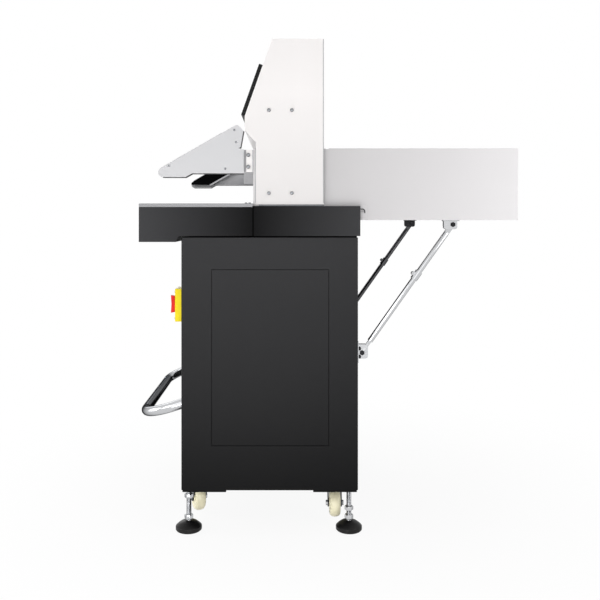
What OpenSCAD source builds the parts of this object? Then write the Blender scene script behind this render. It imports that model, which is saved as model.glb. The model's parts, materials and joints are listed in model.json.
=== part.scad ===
// Hydraulic paper cutter (guillotine) with a floor cabinet, knife tower and rear hood.
// Millimetres. +Z is up, the operator stands at -Y, +X is the operator's right.
// The origin is on the floor under the middle of the machine.

/* [Overall] */
// Width over the tower and cabinet sides
machine_w = 740; // [700:1:820]
// Height of the work surface above the floor
table_h = 900; // [870:1:940]
// Width of paper that passes between the columns
cut_w = 544; // [500:1:560]

/* [Front table] */
// Depth of the front table, from its front edge to the columns
table_d = 308; // [260:1:360]
// Thickness of the table plate
table_t = 10; // [8:0.5:12]
// Height of the black apron under the table
apron_h = 94; // [90:1:110]
// Sheet thickness of the apron
apron_t = 2; // [1.5:0.1:3]
// How far the table and bed stand out past the cabinet side
side_lip = 6; // [3:0.5:10]

/* [Bed] */
// Depth of the bed frame on the cabinet
bed_d = 289; // [280:1:300]
// Height of the bed frame's skirt
bed_h = 81; // [70:1:86]
// Thickness of the bed plate under the paper
bed_plate_t = 7; // [6:0.5:9]
// Shadow gap between the bed skirt and the cabinet
seam = 4; // [2:0.5:6]
// Width of the cutting stick
stick_w = 14; // [10:0.5:16]

/* [Tower] */
// Depth of the tower at the table
tower_d = 191; // [185:1:200]
// Height of the tower covers
tower_h = 448; // [440:1:480]
// Depth of the tower's flat top
tower_top_d = 140; // [130:1:150]
// How far the front cover stands out over the table
overhang = 30; // [24:1:36]
// Height of the chamfer under the overhang
overhang_chamfer = 32; // [26:1:38]
// Height of the overhang's upright face
overhang_face = 39; // [30:1:46]
// Clear height from the tower foot to the front cover
front_open = 168; // [160:1:180]
// Sheet thickness of the tower covers
cover_t = 2; // [1.5:0.1:2.5]

/* [Knife and clamp] */
// Height of the knife edge above the table at rest
knife_lift = 85; // [70:1:90]
// Sideways travel of the knife on its way down
knife_shift = 36; // [24:1:40]
// Height of the clamp above the table at rest
clamp_open = 80; // [60:1:84]
// Height of the clamp beam
clamp_h = 80; // [60:1:90]
// Depth of the clamp beam
clamp_d = 65; // [50:1:70]
// Thickness of the knife blade
blade_t = 12; // [9:0.5:13]
// Thickness of the knife carrier
carrier_t = 20; // [16:0.5:22]
// Sliding clearance
slide_gap = 0.3; // [0.2:0.05:0.5]

/* [Rear hood] */
// Depth of the rear hood behind the tower
hood_d = 528; // [510:1:560]
// Height of the hood's upper edge above the table
hood_top = 148; // [140:1:160]
// Height of the hood's floor below the table
hood_drop = 45; // [43:1:50]
// Sheet thickness of the hood
hood_t = 2; // [1.5:0.1:3]
// Length of the back gauge's motor at the hood's rear wall
gauge_motor_l = 38; // [30:1:45]
// Diameter of the brace tubes
brace_dia = 15; // [12:0.5:16]

/* [Cabinet] */
// Depth of the cabinet
cab_d = 478; // [460:1:500]
// Distance of the cabinet front behind the table's front edge
cab_setback = 113.5; // [100:0.5:130]
// Height of the cabinet's lower edge above the floor
leg_h = 125; // [120:1:140]
// Sheet thickness of the cabinet
cab_t = 3; // [2:0.1:4]
// Depth of the service panel
panel_d = 315; // [260:1:340]
// Height of the service panel
panel_h = 474; // [400:1:500]
// Groove round the service panel
panel_gap = 1.5; // [0.8:0.1:3]

/* [Pedal, switch and buttons] */
// Tube diameter of the pedal bar
pedal_dia = 28; // [22:1:32]
// Distance between the pedal's arms
pedal_w = 600; // [480:1:660]
// Distance of the pedal bar in front of its pivot
pedal_out = 192.5; // [150:0.5:210]
// Height of the main switch above the floor
switch_z = 624; // [560:1:680]
// Diameter of the cut buttons
button_dia = 30; // [24:1:36]
// Travel of the cut buttons
button_travel = 5; // [3:0.5:6]

/* [Feet and casters] */
// Diameter of the foot pads
pad_dia = 72; // [60:1:76]
// Diameter of the foot studs
stud_dia = 14; // [12:1:16]
// Diameter of the caster wheels
wheel_dia = 75; // [65:1:78]
// Width of the caster wheels
wheel_w = 32; // [26:1:34]
// Height of the wheel axles above the floor
wheel_z = 56; // [54:1:60]

/* [Hidden] */
$fn = 48;
eps = 0.01;
fit = 0.05;
side_x = machine_w / 2;
lip_x = side_x + side_lip;
// Stations along Y, from the front edge of the table to the rear of the hood
// The pedal stands out in front of the table, and the whole depth is centred
pedal_slope = 18;
pivot_in = 70;
pedal_over = max(0, pedal_out + pedal_dia / 2 - cab_setback - pivot_in);
y_front = (pedal_over - table_d - tower_d - hood_d) / 2;
y_col = y_front + table_d;
y_rear = y_col + tower_d;
y_hood = y_rear + hood_d;
y_cab = y_front + cab_setback;
y_cab_rear = y_cab + cab_d;
y_bed_rear = y_col + bed_d;
// Stations along Z
z_bed = table_h - bed_plate_t;
z_skirt = z_bed - bed_h;
z_cab = z_skirt - seam;
z_tower = table_h - 3;
z_top = z_tower + tower_h;
z_open = z_tower + front_open;
z_over = z_open + overhang_chamfer;
z_face = z_over + overhang_face;
z_hood = table_h + hood_top;
z_floor = table_h - hood_drop;
// Outline of the tower
cover_back = 7;
y_low = y_col + cover_back;
y_over = y_low - overhang;
y_topfront = y_rear - tower_top_d;
screen_tilt = atan((y_topfront - y_over) / (z_top - z_face));
// Knife slot in the columns, the knife against the slot's rear face
slot_front = y_col + 15;
slot_d = carrier_t + blade_t + 2 * slide_gap;
y_cut = slot_front + slot_d;
y_clamp = y_cut + slide_gap;
col_in = cut_w / 2;
col_out = side_x - cover_t - 2;
col_web = 20;
z_slot = z_open + 22;
flange_drop = 16;
z_col = z_top - 45;
knife_tilt = atan(knife_shift / knife_lift);
// Moving assemblies at rest
z_edge = table_h + knife_lift;
z_clamp = table_h + clamp_open;
blade_h = 90;
carrier_z = z_edge + 16;
carrier_h = 110;
knife_x = knife_shift / 2;
z_cross = z_col - 45;
cross_t = 28;
clamp_y = y_clamp + clamp_d / 2;
// Knife cylinder: square caps seated on the columns' upper front face
cap_w = 30;
rod_y = slot_front + slide_gap + carrier_t / 2;
upper_y = rod_y + cap_w / 2;
hood_x = side_x - 12;
hood_in = hood_x - hood_t - slide_gap;
// Feet and casters: X, Y and for casters the swivel angle
foot_x = side_x - 48;
foot_y = [y_cab + 15, y_cab_rear - 21];
FEET = [for (x = [-foot_x, foot_x], y = foot_y) [x, y]];
caster_in = 76;
caster_x = foot_x - caster_in;
caster_y = [foot_y[0] + 24, foot_y[1] - 36];
CASTERS = [
    [caster_x, caster_y[0], 200], [caster_x, caster_y[1], 0],
    [-caster_x, caster_y[0], -20], [-caster_x, caster_y[1], 180],
];
// Cut buttons, recessed in the apron front
button_x = 230;
button_z = table_h - table_t - apron_h / 2;
bezel_neck = button_dia + 6;

// Extrudes a Y-Z outline along X, from x0 over the width w
module across(x0, w) {
    translate([x0, 0, 0]) rotate([90, 0, 90]) linear_extrude(w) children();
}

// A box given by its two corners
module block(a, b) {
    translate(a) cube(b - a);
}

// Rectangle from corner a to corner b with corners of radius r
module soft_rect(a, b, r) {
    translate([a[0] + r, a[1]]) square([b[0] - a[0] - 2 * r, b[1] - a[1]]);
    translate([a[0], a[1] + r]) square([b[0] - a[0], b[1] - a[1] - 2 * r]);
    for (x = [a[0] + r, b[0] - r], y = [a[1] + r, b[1] - r]) translate([x, y]) circle(r = r);
}

// Both sides of the machine
module both() {
    children();
    mirror([1, 0, 0]) children();
}

// Cabinet

cab_bend = 2;
panel_in = 83;
panel_up = 121.5;
panel_y = y_cab + panel_in;
panel_z = leg_h + panel_up;
panel_lip = 12;
vent_w = 420;
vent_h = 300;
vent_up = 150;
vent_z = leg_h + vent_up;
vent_slots = 10;
arm_slot_w = pedal_dia + 12;
// Pedal pivot inside the cabinet's front
pivot_up = 243;
pivot_y = y_cab + pivot_in;
pivot_z = leg_h + pivot_up;
pedal_swing = 12;
shaft_dia = 20;

module cabinet_shell() {
    slot_z0 = pivot_z - pivot_in * tan(pedal_slope + pedal_swing) - pedal_dia;
    slot_z1 = pivot_z - pivot_in * tan(pedal_slope) + pedal_dia;
    color("#333335") difference() {
        translate([0, 0, leg_h]) linear_extrude(z_cab - leg_h)
            soft_rect([-side_x, y_cab], [side_x, y_cab_rear], cab_bend + cab_t);
        translate([0, 0, leg_h - 1]) linear_extrude(z_cab - cab_t - leg_h + 1)
            soft_rect([-side_x + cab_t, y_cab + cab_t], [side_x - cab_t, y_cab_rear - cab_t], cab_bend);
        // Service openings in both sides
        block([-side_x - 1, panel_y - panel_gap, panel_z - panel_gap],
              [side_x + 1, panel_y + panel_d + panel_gap, panel_z + panel_h + panel_gap]);
        // Rear opening behind the vented panel
        block([-vent_w / 2, y_cab_rear - cab_t - 1, vent_z], [vent_w / 2, y_cab_rear + 1, vent_z + vent_h]);
        // Slots for the pedal's arms
        for (s = [-1, 1]) translate([s * pedal_w / 2 - arm_slot_w / 2, y_cab - 1, slot_z0])
            cube([arm_slot_w, cab_t + 2, slot_z1 - slot_z0]);
    }
}

// Flush panel with a lip that seats on the inner face of the cabinet wall
module service_panel() {
    block([side_x - cab_t, panel_y, panel_z], [side_x, panel_y + panel_d, panel_z + panel_h]);
    block([side_x - 2 * cab_t, panel_y - panel_lip, panel_z - panel_lip],
          [side_x - cab_t, panel_y + panel_d + panel_lip, panel_z + panel_h + panel_lip]);
}

module service_panels() {
    color("#2e2e30") both() service_panel();
}

module rear_panel() {
    edge = 15;
    pitch = vent_h / (vent_slots + 2);
    color("#2b2b2d") difference() {
        block([-vent_w / 2 - edge, y_cab_rear, vent_z - edge],
              [vent_w / 2 + edge, y_cab_rear + cab_t / 2, vent_z + vent_h + edge]);
        for (k = [1 : vent_slots], s = [-1, 1])
            translate([s * vent_w / 4 - vent_w / 6, y_cab_rear - 1, vent_z + k * pitch])
                cube([vent_w / 3, cab_t + 2, pitch / 3]);
    }
}

plate_t = 6;
plate_d = 118;
plate_x = side_x - cab_t - 1;
rim_in = cab_bend + 2;

module base_plates() {
    color("#1f1f1f") for (y = [y_cab + cab_t, y_cab_rear - cab_t - plate_d]) difference() {
        union() {
            block([-plate_x, y, leg_h - plate_t], [plate_x, y + plate_d, leg_h]);
            // Upturned rims against the cabinet walls
            for (s = [-1, 1]) translate([s * (plate_x - 1.5) - 2.5, y + rim_in, leg_h - eps])
                cube([5, plate_d - 2 * rim_in, 30]);
        }
        for (f = FEET) translate([f[0], f[1], leg_h - plate_t - 1])
            cylinder(d = stud_dia + 2 * fit, h = plate_t + 2);
    }
}

// Bed frame and front table

apron_x = lip_x;
apron_low = table_h - table_t - apron_h;
apron_notch_y = y_cab - 6;

module bed_frame() {
    top_t = 14;
    wall = 8;
    seat = 60;
    color("#2f2f30") difference() {
        union() {
            difference() {
                block([-lip_x, y_col + eps, z_skirt], [lip_x, y_bed_rear, z_bed]);
                block([-lip_x + wall, y_col + wall, z_skirt - 1],
                      [lip_x - wall, y_bed_rear - wall, z_bed - top_t]);
            }
            plinth(wall);
            // Inner webs that stand on the cabinet
            for (s = [-1, 1]) translate([s * (side_x - seat) - 6, y_col + wall - eps, z_cab])
                cube([12, bed_d - 2 * wall - 12, bed_h + seam - top_t + eps]);
        }
        stick_groove(5);
    }
}

// Set-back ring that closes the seam between the bed and the cabinet
module plinth(wall) {
    back = 3;
    ring_w = 12;
    lap = 6;
    y0 = y_col + eps;
    y1 = y_cab_rear - back;
    difference() {
        union() {
            block([-side_x + back, y0, z_cab], [side_x - back, y1, z_skirt + lap]);
            block([-lip_x + wall - 1, y0, z_skirt], [lip_x - wall + 1, y_bed_rear - wall + 1, z_skirt + lap]);
        }
        block([-side_x + back + ring_w, y0 + ring_w, z_cab - 1],
              [side_x - back - ring_w, y1 - ring_w, z_skirt + lap + 1]);
    }
}

module stick_groove(depth) {
    block([-col_in + 1, y_cut - stick_w / 2, z_bed - depth], [col_in - 1, y_cut + stick_w / 2, table_h + 1]);
}

module bed_plate() {
    color("#b9babc") difference() {
        union() {
            block([-col_in + slide_gap, y_col, z_bed], [col_in - slide_gap, y_bed_rear, table_h]);
            block([-hood_in, y_rear + 4, z_bed], [hood_in, y_bed_rear, table_h]);
        }
        stick_groove(1);
    }
}

module cutting_stick() {
    color("#e9e4d4")
        block([-col_in + 1, y_cut - stick_w / 2, z_bed - 5], [col_in - 1, y_cut + stick_w / 2, table_h]);
}

module apron_outline(inset, top) {
    polygon([[y_front + inset, apron_low + inset],
             [apron_notch_y - 8, apron_low + inset],
             [apron_notch_y, z_skirt + inset],
             [y_col, z_skirt + inset],
             [y_col, top],
             [y_front + inset, top]]);
}

module front_apron() {
    color("#2f2f30") difference() {
        across(-apron_x, 2 * apron_x) apron_outline(0, table_h - table_t);
        across(-apron_x + apron_t, 2 * (apron_x - apron_t)) apron_outline(apron_t, table_h);
        for (s = [-1, 1]) translate([s * button_x, y_front - 1, button_z]) rotate([-90, 0, 0])
            cylinder(d = bezel_neck + 2 * fit, h = apron_t + 2);
    }
}

module front_table() {
    color("#c4c4c6") difference() {
        block([-lip_x, y_front, table_h - table_t], [lip_x, y_col, table_h]);
        // Broken upper front edge
        translate([0, y_front, table_h]) rotate([45, 0, 0]) cube([2 * lip_x + 2, 2, 2], center = true);
    }
}

// Tower

function tower_points() = [
    [y_rear, z_tower], [y_rear, z_top], [y_topfront, z_top], [y_over, z_face],
    [y_over, z_over], [y_low, z_open], [y_low, z_tower],
];

module tower_side() {
    color("#eeeced") union() {
        across(side_x - cover_t, cover_t) polygon(tower_points());
        // Rear return flange
        block([side_x - 22, y_rear - cover_t, z_hood + 12],
              [side_x - cover_t + eps, y_rear, z_top - cover_t]);
    }
}

module tower_side_right() {
    tower_side();
}

module tower_side_left() {
    mirror([1, 0, 0]) tower_side();
}

// Front and top in one bent sheet between the side covers
module tower_front() {
    t = cover_t;
    k = t / cos(screen_tilt);
    color("#f1eff0") across(-side_x + t, 2 * (side_x - t)) polygon([
        [y_low, z_open], [y_over, z_over], [y_over, z_face], [y_topfront, z_top], [y_rear - t, z_top],
        [y_rear - t, z_top - t], [y_topfront + t / 2, z_top - t], [y_over + k, z_face - t / 3],
        [y_over + t, z_over + t / 2], [y_low + t, z_open + t / 2], [y_low + t, z_open],
    ]);
}

module tower_rear() {
    color("#e6e4e5")
        block([-side_x + 22.5, y_rear - cover_t, z_hood + 12], [side_x - 22.5, y_rear, z_top - cover_t]);
}

// Column: a casting with a guide slot for the knife carrier
module side_column() {
    slot_rear = slot_front + slot_d;
    difference() {
        union() {
            block([col_in, slot_rear, z_bed], [col_out, y_rear - cover_t, z_slot]);
            block([col_in, upper_y, z_slot - eps], [col_out, y_rear - cover_t, z_col]);
            // Front flange and outer web round the slot
            block([col_in, y_col, z_bed], [col_out, slot_rear + eps, z_open - flange_drop]);
        }
        block([col_in - 1, slot_front, table_h], [col_out - col_web, slot_rear, z_open]);
    }
}

module side_columns() {
    color("#8d9094") both() side_column();
}

module crosshead() {
    color("#8d9094") difference() {
        block([-col_in, upper_y, z_cross], [col_in, y_rear - 30, z_cross + cross_t]);
        translate([0, clamp_y, z_cross - 1]) cylinder(d = 30, h = cross_t + 2);
    }
}

// Control panel on the sloped front

panel_w = 250;
panel_l = 149;
panel_r = 6;
panel_t = 13;

module on_slope() {
    translate([0, y_over, z_face]) rotate([-screen_tilt, 0, 0]) children();
}

module screen_housing() {
    x1 = side_x - 24;
    color("#141415") on_slope() difference() {
        translate([0, -eps, 0]) rotate([90, 0, 0]) linear_extrude(panel_t - eps)
            soft_rect([x1 - panel_w, 3], [x1, 3 + panel_l], panel_r);
        block([x1 - panel_w + 10, -panel_t - 1, 13], [x1 - 10, -panel_t + 1.5, panel_l - 7]);
    }
}

module screen_glass() {
    x1 = side_x - 24;
    color("#20242a") on_slope()
        block([x1 - panel_w + 10, -panel_t, 13], [x1 - 10, -panel_t + 1.5, panel_l - 7]);
}

// Light-guard arms

arm_t = 3;
arm_len = 232;
arm_back = y_over - 2;
arm_low = table_h + 71;
arm_rise = 10;
arm_high = table_h + 212;
nose_r = 13;
brow_r = 10;
brow_in = 20;
strip_w = 40;
strip_t = 22;
strip_l = 180;
strip_in = 2;
strip_up = 12;
lip_t = 1.5;

function arc(c, r, a0, a1, n = 8) =
    [for (k = [0 : n]) let (a = a0 + (a1 - a0) * k / n) c + r * [cos(a), sin(a)]];

nose_c = [arm_back - arm_len + nose_r, arm_low + nose_r];
brow_c = [arm_back - brow_in, arm_high - brow_r];
// Slope of the edge that is tangent to both rounded ends
arm_run = brow_c - nose_c;
arm_slope = atan2(arm_run[1], arm_run[0]) + asin((brow_r - nose_r) / norm(arm_run));

module arm_outline() {
    polygon(concat(
        arc(nose_c, nose_r, 270, 90 + arm_slope),
        arc(brow_c, brow_r, 90 + arm_slope, 40),
        [[arm_back - 1, arm_high - 16], [arm_back - 9, table_h + 152], [arm_back - 14, table_h + 149.5],
         [arm_back, table_h + 146], [arm_back, arm_low + arm_rise],
         [arm_back - 140, arm_low + arm_rise], [arm_back - 158, arm_low]]));
}

module guard_arm() {
    top = [nose_c[0] - nose_r * sin(arm_slope), nose_c[1] + nose_r * cos(arm_slope)];
    color("#d3d3d6") union() {
        across(side_x - arm_t, arm_t) arm_outline();
        // Lip folded in along the sloped edge
        translate([0, top[0], top[1]]) rotate([arm_slope, 0, 0])
            block([side_x - arm_t - strip_t, 4, -lip_t], [side_x - arm_t + eps, 190, 0]);
        // Lips folded in along both lower edges
        block([side_x - arm_t - strip_t, nose_c[0], arm_low],
              [side_x - arm_t + eps, arm_back - 160, arm_low + lip_t]);
        block([side_x - arm_t - strip_t, arm_back - 138, arm_low + arm_rise],
              [side_x - arm_t + eps, arm_back - 2, arm_low + arm_rise + lip_t]);
    }
}

module guard_arm_right() {
    guard_arm();
}

module guard_arm_left() {
    mirror([1, 0, 0]) guard_arm();
}

// Outline of the infrared strip: it runs along the sloped edge, follows the nose and is cut level below
function strip_points() = let (
    run = [cos(arm_slope), sin(arm_slope)],
    out = [-sin(arm_slope), cos(arm_slope)],
    r = nose_r - strip_in,
    low = arm_low + strip_up,
    upper = nose_c + r * out + strip_l * run,
    lower = upper - strip_w * out,
    cut = lower - run * (lower[1] - low) / run[1]
) concat(arc(nose_c, r, 90 + arm_slope, 180 + asin((nose_c[1] - low) / r)), [cut, lower, upper]);

// Black infrared strip inside each arm
module light_strips() {
    color("#161617") both() across(side_x - arm_t - strip_t, strip_t) polygon(strip_points());
}

module guard_brackets() {
    z0 = arm_low + arm_rise + 4;
    color("#e9e8e8") both() difference() {
        union() {
            block([side_x - arm_t - 10, arm_back - 40, z0], [side_x - arm_t, y_col, z0 + 60]);
            block([side_x - arm_t - eps, arm_back + 0.3, z0], [side_x, y_col - 2.5, z0 + 60]);
        }
        for (z = [z0 + 14, z0 + 46]) translate([side_x - 20, arm_back + 12, z]) rotate([0, 90, 0])
            cylinder(d = 6, h = 30);
    }
}

// Rear hood

hinge_y = y_rear + 7.5;
hinge_z = z_hood + 5;
knuckle_r = 4.5;
hinge_pin = 5;
knuckle_l = 60;
knuckle_pitch = 120;

module knuckle(x) {
    translate([x - knuckle_l / 2, hinge_y, hinge_z]) rotate([0, 90, 0]) cylinder(r = knuckle_r, h = knuckle_l);
}

module hood_shell() {
    color("#cfcfd1") union() {
        both() across(hood_x - hood_t, hood_t) polygon([
            [y_rear, z_bed], [y_bed_rear + 1, z_bed], [y_bed_rear + 1, z_floor],
            [y_hood, z_floor], [y_hood, z_hood], [y_rear, z_hood]]);
        block([-hood_x + eps, y_hood - hood_t, z_floor], [hood_x - eps, y_hood, z_hood]);
        block([-hood_x + eps, y_bed_rear + 1, z_floor], [hood_x - eps, y_hood - eps, z_floor + hood_t]);
        // Hinge bar, fixed knuckles and pin
        block([-hood_x + eps, y_rear + slide_gap, z_hood - 18], [hood_x - eps, y_rear + 12, z_hood - 0.5]);
        for (s = [-1, 1]) {
            knuckle(s * knuckle_pitch);
            translate([s * knuckle_pitch - knuckle_l / 2, hinge_y - 4, z_hood - 1])
                cube([knuckle_l, 8, hinge_z - z_hood]);
        }
        translate([-2.3 * knuckle_pitch, hinge_y, hinge_z]) rotate([0, 90, 0])
            cylinder(d = hinge_pin, h = 4.6 * knuckle_pitch);
    }
}

module hood_lid() {
    color("#d6d6d8") difference() {
        union() {
            block([-hood_x, y_rear + 14, z_hood], [hood_x, y_hood, z_hood + hood_t]);
            for (k = [-2, 0, 2]) {
                knuckle(k * knuckle_pitch);
                translate([k * knuckle_pitch - knuckle_l / 2, hinge_y, z_hood + 0.5])
                    cube([knuckle_l, 8, hood_t - 0.5]);
            }
        }
        translate([-2.6 * knuckle_pitch, hinge_y, hinge_z]) rotate([0, 90, 0])
            cylinder(d = hinge_pin + 2 * fit, h = 5.2 * knuckle_pitch);
    }
}

// Braces between the hood floor and the cabinet rear

brace_in = 30;
brace_x = side_x - brace_in;
pin_out = 13;
pin_down = 12;
brace_up = 368;
brace_reach = 261;
brace_low = [y_cab_rear + pin_out, leg_h + brace_up];
brace_high = [y_cab_rear + brace_reach, z_floor - pin_down];
brace_d = brace_high - brace_low;
brace_len = norm(brace_d);
brace_pin = 8;
eye_dia = 17;
eye_t = 8;
tab_t = 7;
ear_gap = 9;
ear_t = 3;
// Bare necks between the pins and the tube
neck_low = 38;
neck_high = 27;
// Clamp collar where the tube telescopes, measured down from the upper pin
collar_down = 184;
collar_l = 26;

// Tube with a flattened upper end, an eyed lower end and a clamp collar
module hood_braces() {
    color("#c9ccd0") both() translate([brace_x, brace_low[0], brace_low[1]])
        rotate([-atan2(brace_d[0], brace_d[1]), 0, 0]) difference() {
            union() {
                for (z = [0, brace_len]) translate([-eye_t / 2, 0, z]) rotate([0, 90, 0])
                    cylinder(d = eye_dia, h = eye_t);
                block([-tab_t / 2, -brace_dia / 2 + 3, 0], [tab_t / 2, brace_dia / 2 - 3, neck_low + 4]);
                block([-tab_t / 2, -brace_dia / 2 + 0.5, brace_len - neck_high - 4],
                      [tab_t / 2, brace_dia / 2 - 0.5, brace_len]);
                translate([0, 0, neck_low]) cylinder(d = brace_dia, h = brace_len - neck_low - neck_high);
                translate([0, 0, brace_len - collar_down]) cylinder(d = brace_dia + 5, h = collar_l);
                translate([0, -brace_dia / 2 - 3, brace_len - collar_down + collar_l / 2]) rotate([0, 90, 0])
                    cylinder(d = 11, h = brace_dia - 1, center = true);
            }
            for (z = [0, brace_len]) translate([-eye_t, 0, z]) rotate([0, 90, 0])
                cylinder(d = brace_pin + 2 * fit, h = 2 * eye_t);
        }
}

// A pair of ears with their pin
module brace_ears() {
    for (s = [-1, 1]) translate([s * (ear_gap + ear_t) / 2 - ear_t / 2, 0, 0]) rotate([90, 0, 90])
        linear_extrude(ear_t) children();
    rotate([0, 90, 0]) translate([0, 0, -ear_gap / 2 - ear_t - 2])
        cylinder(d = brace_pin, h = ear_gap + 2 * ear_t + 4);
}

module brace_brackets() {
    ear_out = 16;
    ear_low = -16;
    ear_high = 23;
    ear_r = 7;
    fork_back = 25;
    fork_front = 12;
    fork_low = -13;
    tie_w = 19;
    tie_t = 3;
    color("#b9bbbe") both() {
        translate([brace_x, brace_low[0], brace_low[1]]) {
            brace_ears() polygon(concat(
                [[-pin_out, ear_low]], arc([ear_out - ear_r, ear_low + ear_r], ear_r, 270, 360, 4),
                arc([ear_out - ear_r, ear_high - ear_r], ear_r, 0, 90, 4), [[-pin_out, ear_high]]));
            block([-16, -pin_out, -26], [16, -pin_out + 3, 30]);
        }
        translate([brace_x, brace_high[0], brace_high[1]]) {
            brace_ears() polygon(concat(
                [[-fork_back, pin_down]], arc([-fork_back + ear_r, fork_low + ear_r], ear_r, 180, 270, 4),
                arc([fork_front - ear_r, fork_low + ear_r], ear_r, 270, 360, 4), [[fork_front, pin_down]]));
            block([-10, -fork_back - 2, pin_down - 3], [10, fork_front + 5, pin_down]);
        }
        // Plate that ties the hood to the bed frame, slotted for its hook
        difference() {
            block([hood_x, y_bed_rear, z_floor], [hood_x + tie_t, y_bed_rear + tie_w, z_bed + 2]);
            block([hood_x - 1, y_bed_rear - 1, z_bed - 16],
                  [hood_x + tie_t + 1, y_bed_rear + tie_w - 6, z_bed - 12]);
        }
    }
}

// Hydraulic unit in the cabinet

tank_h = 240;
tank_x = [-260, 60];
tank_rim = 8;
tank_lid = 6;
tank_y = [y_cab + cab_t + plate_d - 20, y_cab_rear - cab_t - plate_d + 20];
motor_dia = 140;
motor_x = tank_x[0] + 150;
valve_x = tank_x[1] - 70;
motor_h = 210;

module oil_tank() {
    color("#4a5a66") union() {
        difference() {
            block([tank_x[0], tank_y[0], leg_h], [tank_x[1], tank_y[1], leg_h + tank_h]);
            block([tank_x[0] + cab_t, tank_y[0] + cab_t, leg_h + cab_t],
                  [tank_x[1] - cab_t, tank_y[1] - cab_t, leg_h + tank_h + 1]);
        }
        block([tank_x[0] - tank_rim, tank_y[0] - tank_rim, leg_h + tank_h - eps],
              [tank_x[1] + tank_rim, tank_y[1] + tank_rim, leg_h + tank_h + tank_lid]);
    }
}

module pump_motor() {
    fins = 12;
    color("#53606b") translate([motor_x, (tank_y[0] + tank_y[1]) / 2, leg_h + tank_h + tank_lid]) union() {
        cylinder(d = motor_dia + 20, h = 12);
        cylinder(d = motor_dia - 12, h = motor_h);
        for (k = [0 : fins - 1]) translate([0, 0, 30 + k * 11]) cylinder(d = motor_dia, h = 5);
        translate([0, 0, motor_h - 30]) cylinder(d = motor_dia, h = 30);
    }
}

module valve_block() {
    color("#9aa0a6") translate([valve_x, tank_y[0] + 40, leg_h + tank_h + tank_lid]) union() {
        cube([60, 90, 70]);
        for (y = [22, 68]) translate([30, y, 70 - eps]) cylinder(d = 34, h = 46);
    }
}

// Clamp

clamp_stroke = clamp_open - 0.5;
barrel_l = clamp_stroke + 56;
barrel_z = z_cross - barrel_l;
piston_t = 15;
clamp_rod = 25;
clamp_bore = 40;

module clamp_cylinder() {
    color("#6f757b") translate([0, clamp_y, barrel_z]) difference() {
        union() {
            cylinder(d = clamp_bore + 20, h = barrel_l);
            translate([0, 0, barrel_l - 10]) cylinder(d = clamp_bore + 40, h = 10);
        }
        translate([0, 0, -1]) cylinder(d = clamp_rod + 2 * fit, h = barrel_l);
        translate([0, 0, 12]) cylinder(d = clamp_bore + 2 * fit, h = barrel_l - 20);
    }
}

module clamp_beam() {
    rod_top = barrel_z + barrel_l - 10 - piston_t;
    color("#a9adb1") union() {
        across(-col_in + slide_gap, 2 * (col_in - slide_gap)) polygon([
            [y_clamp, z_clamp], [y_clamp + clamp_d, z_clamp], [y_clamp + clamp_d, z_clamp + clamp_h * 0.6],
            [y_clamp + clamp_d * 0.8, z_clamp + clamp_h], [y_clamp, z_clamp + clamp_h]]);
        translate([0, clamp_y, z_clamp + clamp_h - 1]) {
            cylinder(d = clamp_rod, h = rod_top - z_clamp - clamp_h + 2);
            translate([0, 0, rod_top - z_clamp - clamp_h + 1]) cylinder(d = clamp_bore, h = piston_t);
        }
    }
}

// Knife

knife_stroke = (knife_lift - slide_gap) / cos(knife_tilt);
blade_half = col_in + 4;
carrier_half = col_in + 48;
carrier_mid = col_in - 26;
end_top = z_slot - 2;
knife_rod = 12;
knife_bore = 20;
knife_piston = 10;
cyl_start = 14;
cyl_l = knife_stroke + 32;

module on_knife_axis() {
    translate([col_in + 15, rod_y, end_top]) rotate([0, knife_tilt, 0]) children();
}

module knife_carrier() {
    y0 = slot_front + slide_gap;
    color("#7d8287") union() {
        translate([knife_x, y0 + carrier_t, 0]) rotate([90, 0, 0]) linear_extrude(carrier_t) polygon([
            [-carrier_half, carrier_z + 20], [-carrier_half, end_top], [-carrier_mid, end_top],
            [-carrier_mid + 14, carrier_z + carrier_h], [carrier_mid - 14, carrier_z + carrier_h],
            [carrier_mid, end_top], [carrier_half, end_top], [carrier_half, carrier_z + 20],
            [carrier_half - 20, carrier_z], [-carrier_half + 20, carrier_z]]);
        on_knife_axis() {
            translate([0, 0, -12]) cylinder(d = knife_rod, h = 12 + cyl_start + cyl_l - 9 - knife_piston / 2);
            translate([0, 0, cyl_start + cyl_l - 9 - knife_piston])
                cylinder(d = knife_bore, h = knife_piston);
        }
    }
}

module knife_blade() {
    y1 = slot_front + slot_d - slide_gap;
    bevel = blade_t * 0.92;
    color("#c7cbd0") across(knife_x - blade_half, 2 * blade_half) polygon([
        [y1, z_edge], [y1, z_edge + blade_h], [y1 - blade_t, z_edge + blade_h],
        [y1 - blade_t, z_edge + 28], [y1 - blade_t + bevel, z_edge]]);
}

module knife_cylinder() {
    color("#6f757b") on_knife_axis() translate([0, 0, cyl_start]) difference() {
        union() {
            cylinder(d = cap_w - 2, h = cyl_l);
            for (z = [0, cyl_l - 10]) translate([-cap_w / 2, -cap_w / 2, z]) cube([cap_w, cap_w, 10]);
        }
        translate([0, 0, -1]) cylinder(d = knife_rod + 2 * fit, h = 14);
        translate([0, 0, 10]) cylinder(d = knife_bore + 2 * fit, h = cyl_l - 18);
    }
}

// Back gauge and rear table

screw_dia = 16;
screw_z = z_floor + 17;
bearing_w = 10;
screw_y = y_bed_rear + 2;
carriage_y = screw_y + bearing_w + 2;
carriage_w = 30;
motor_gap = 4;
// The screw fills what the motor leaves of the hood, and its length sets the gauge's travel
screw_end = y_hood - hood_t - motor_gap - gauge_motor_l;
table_low = table_h - 12;
slot_half = 13;
gauge_y = y_clamp + clamp_d + 2;
gauge_h = 60;

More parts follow.
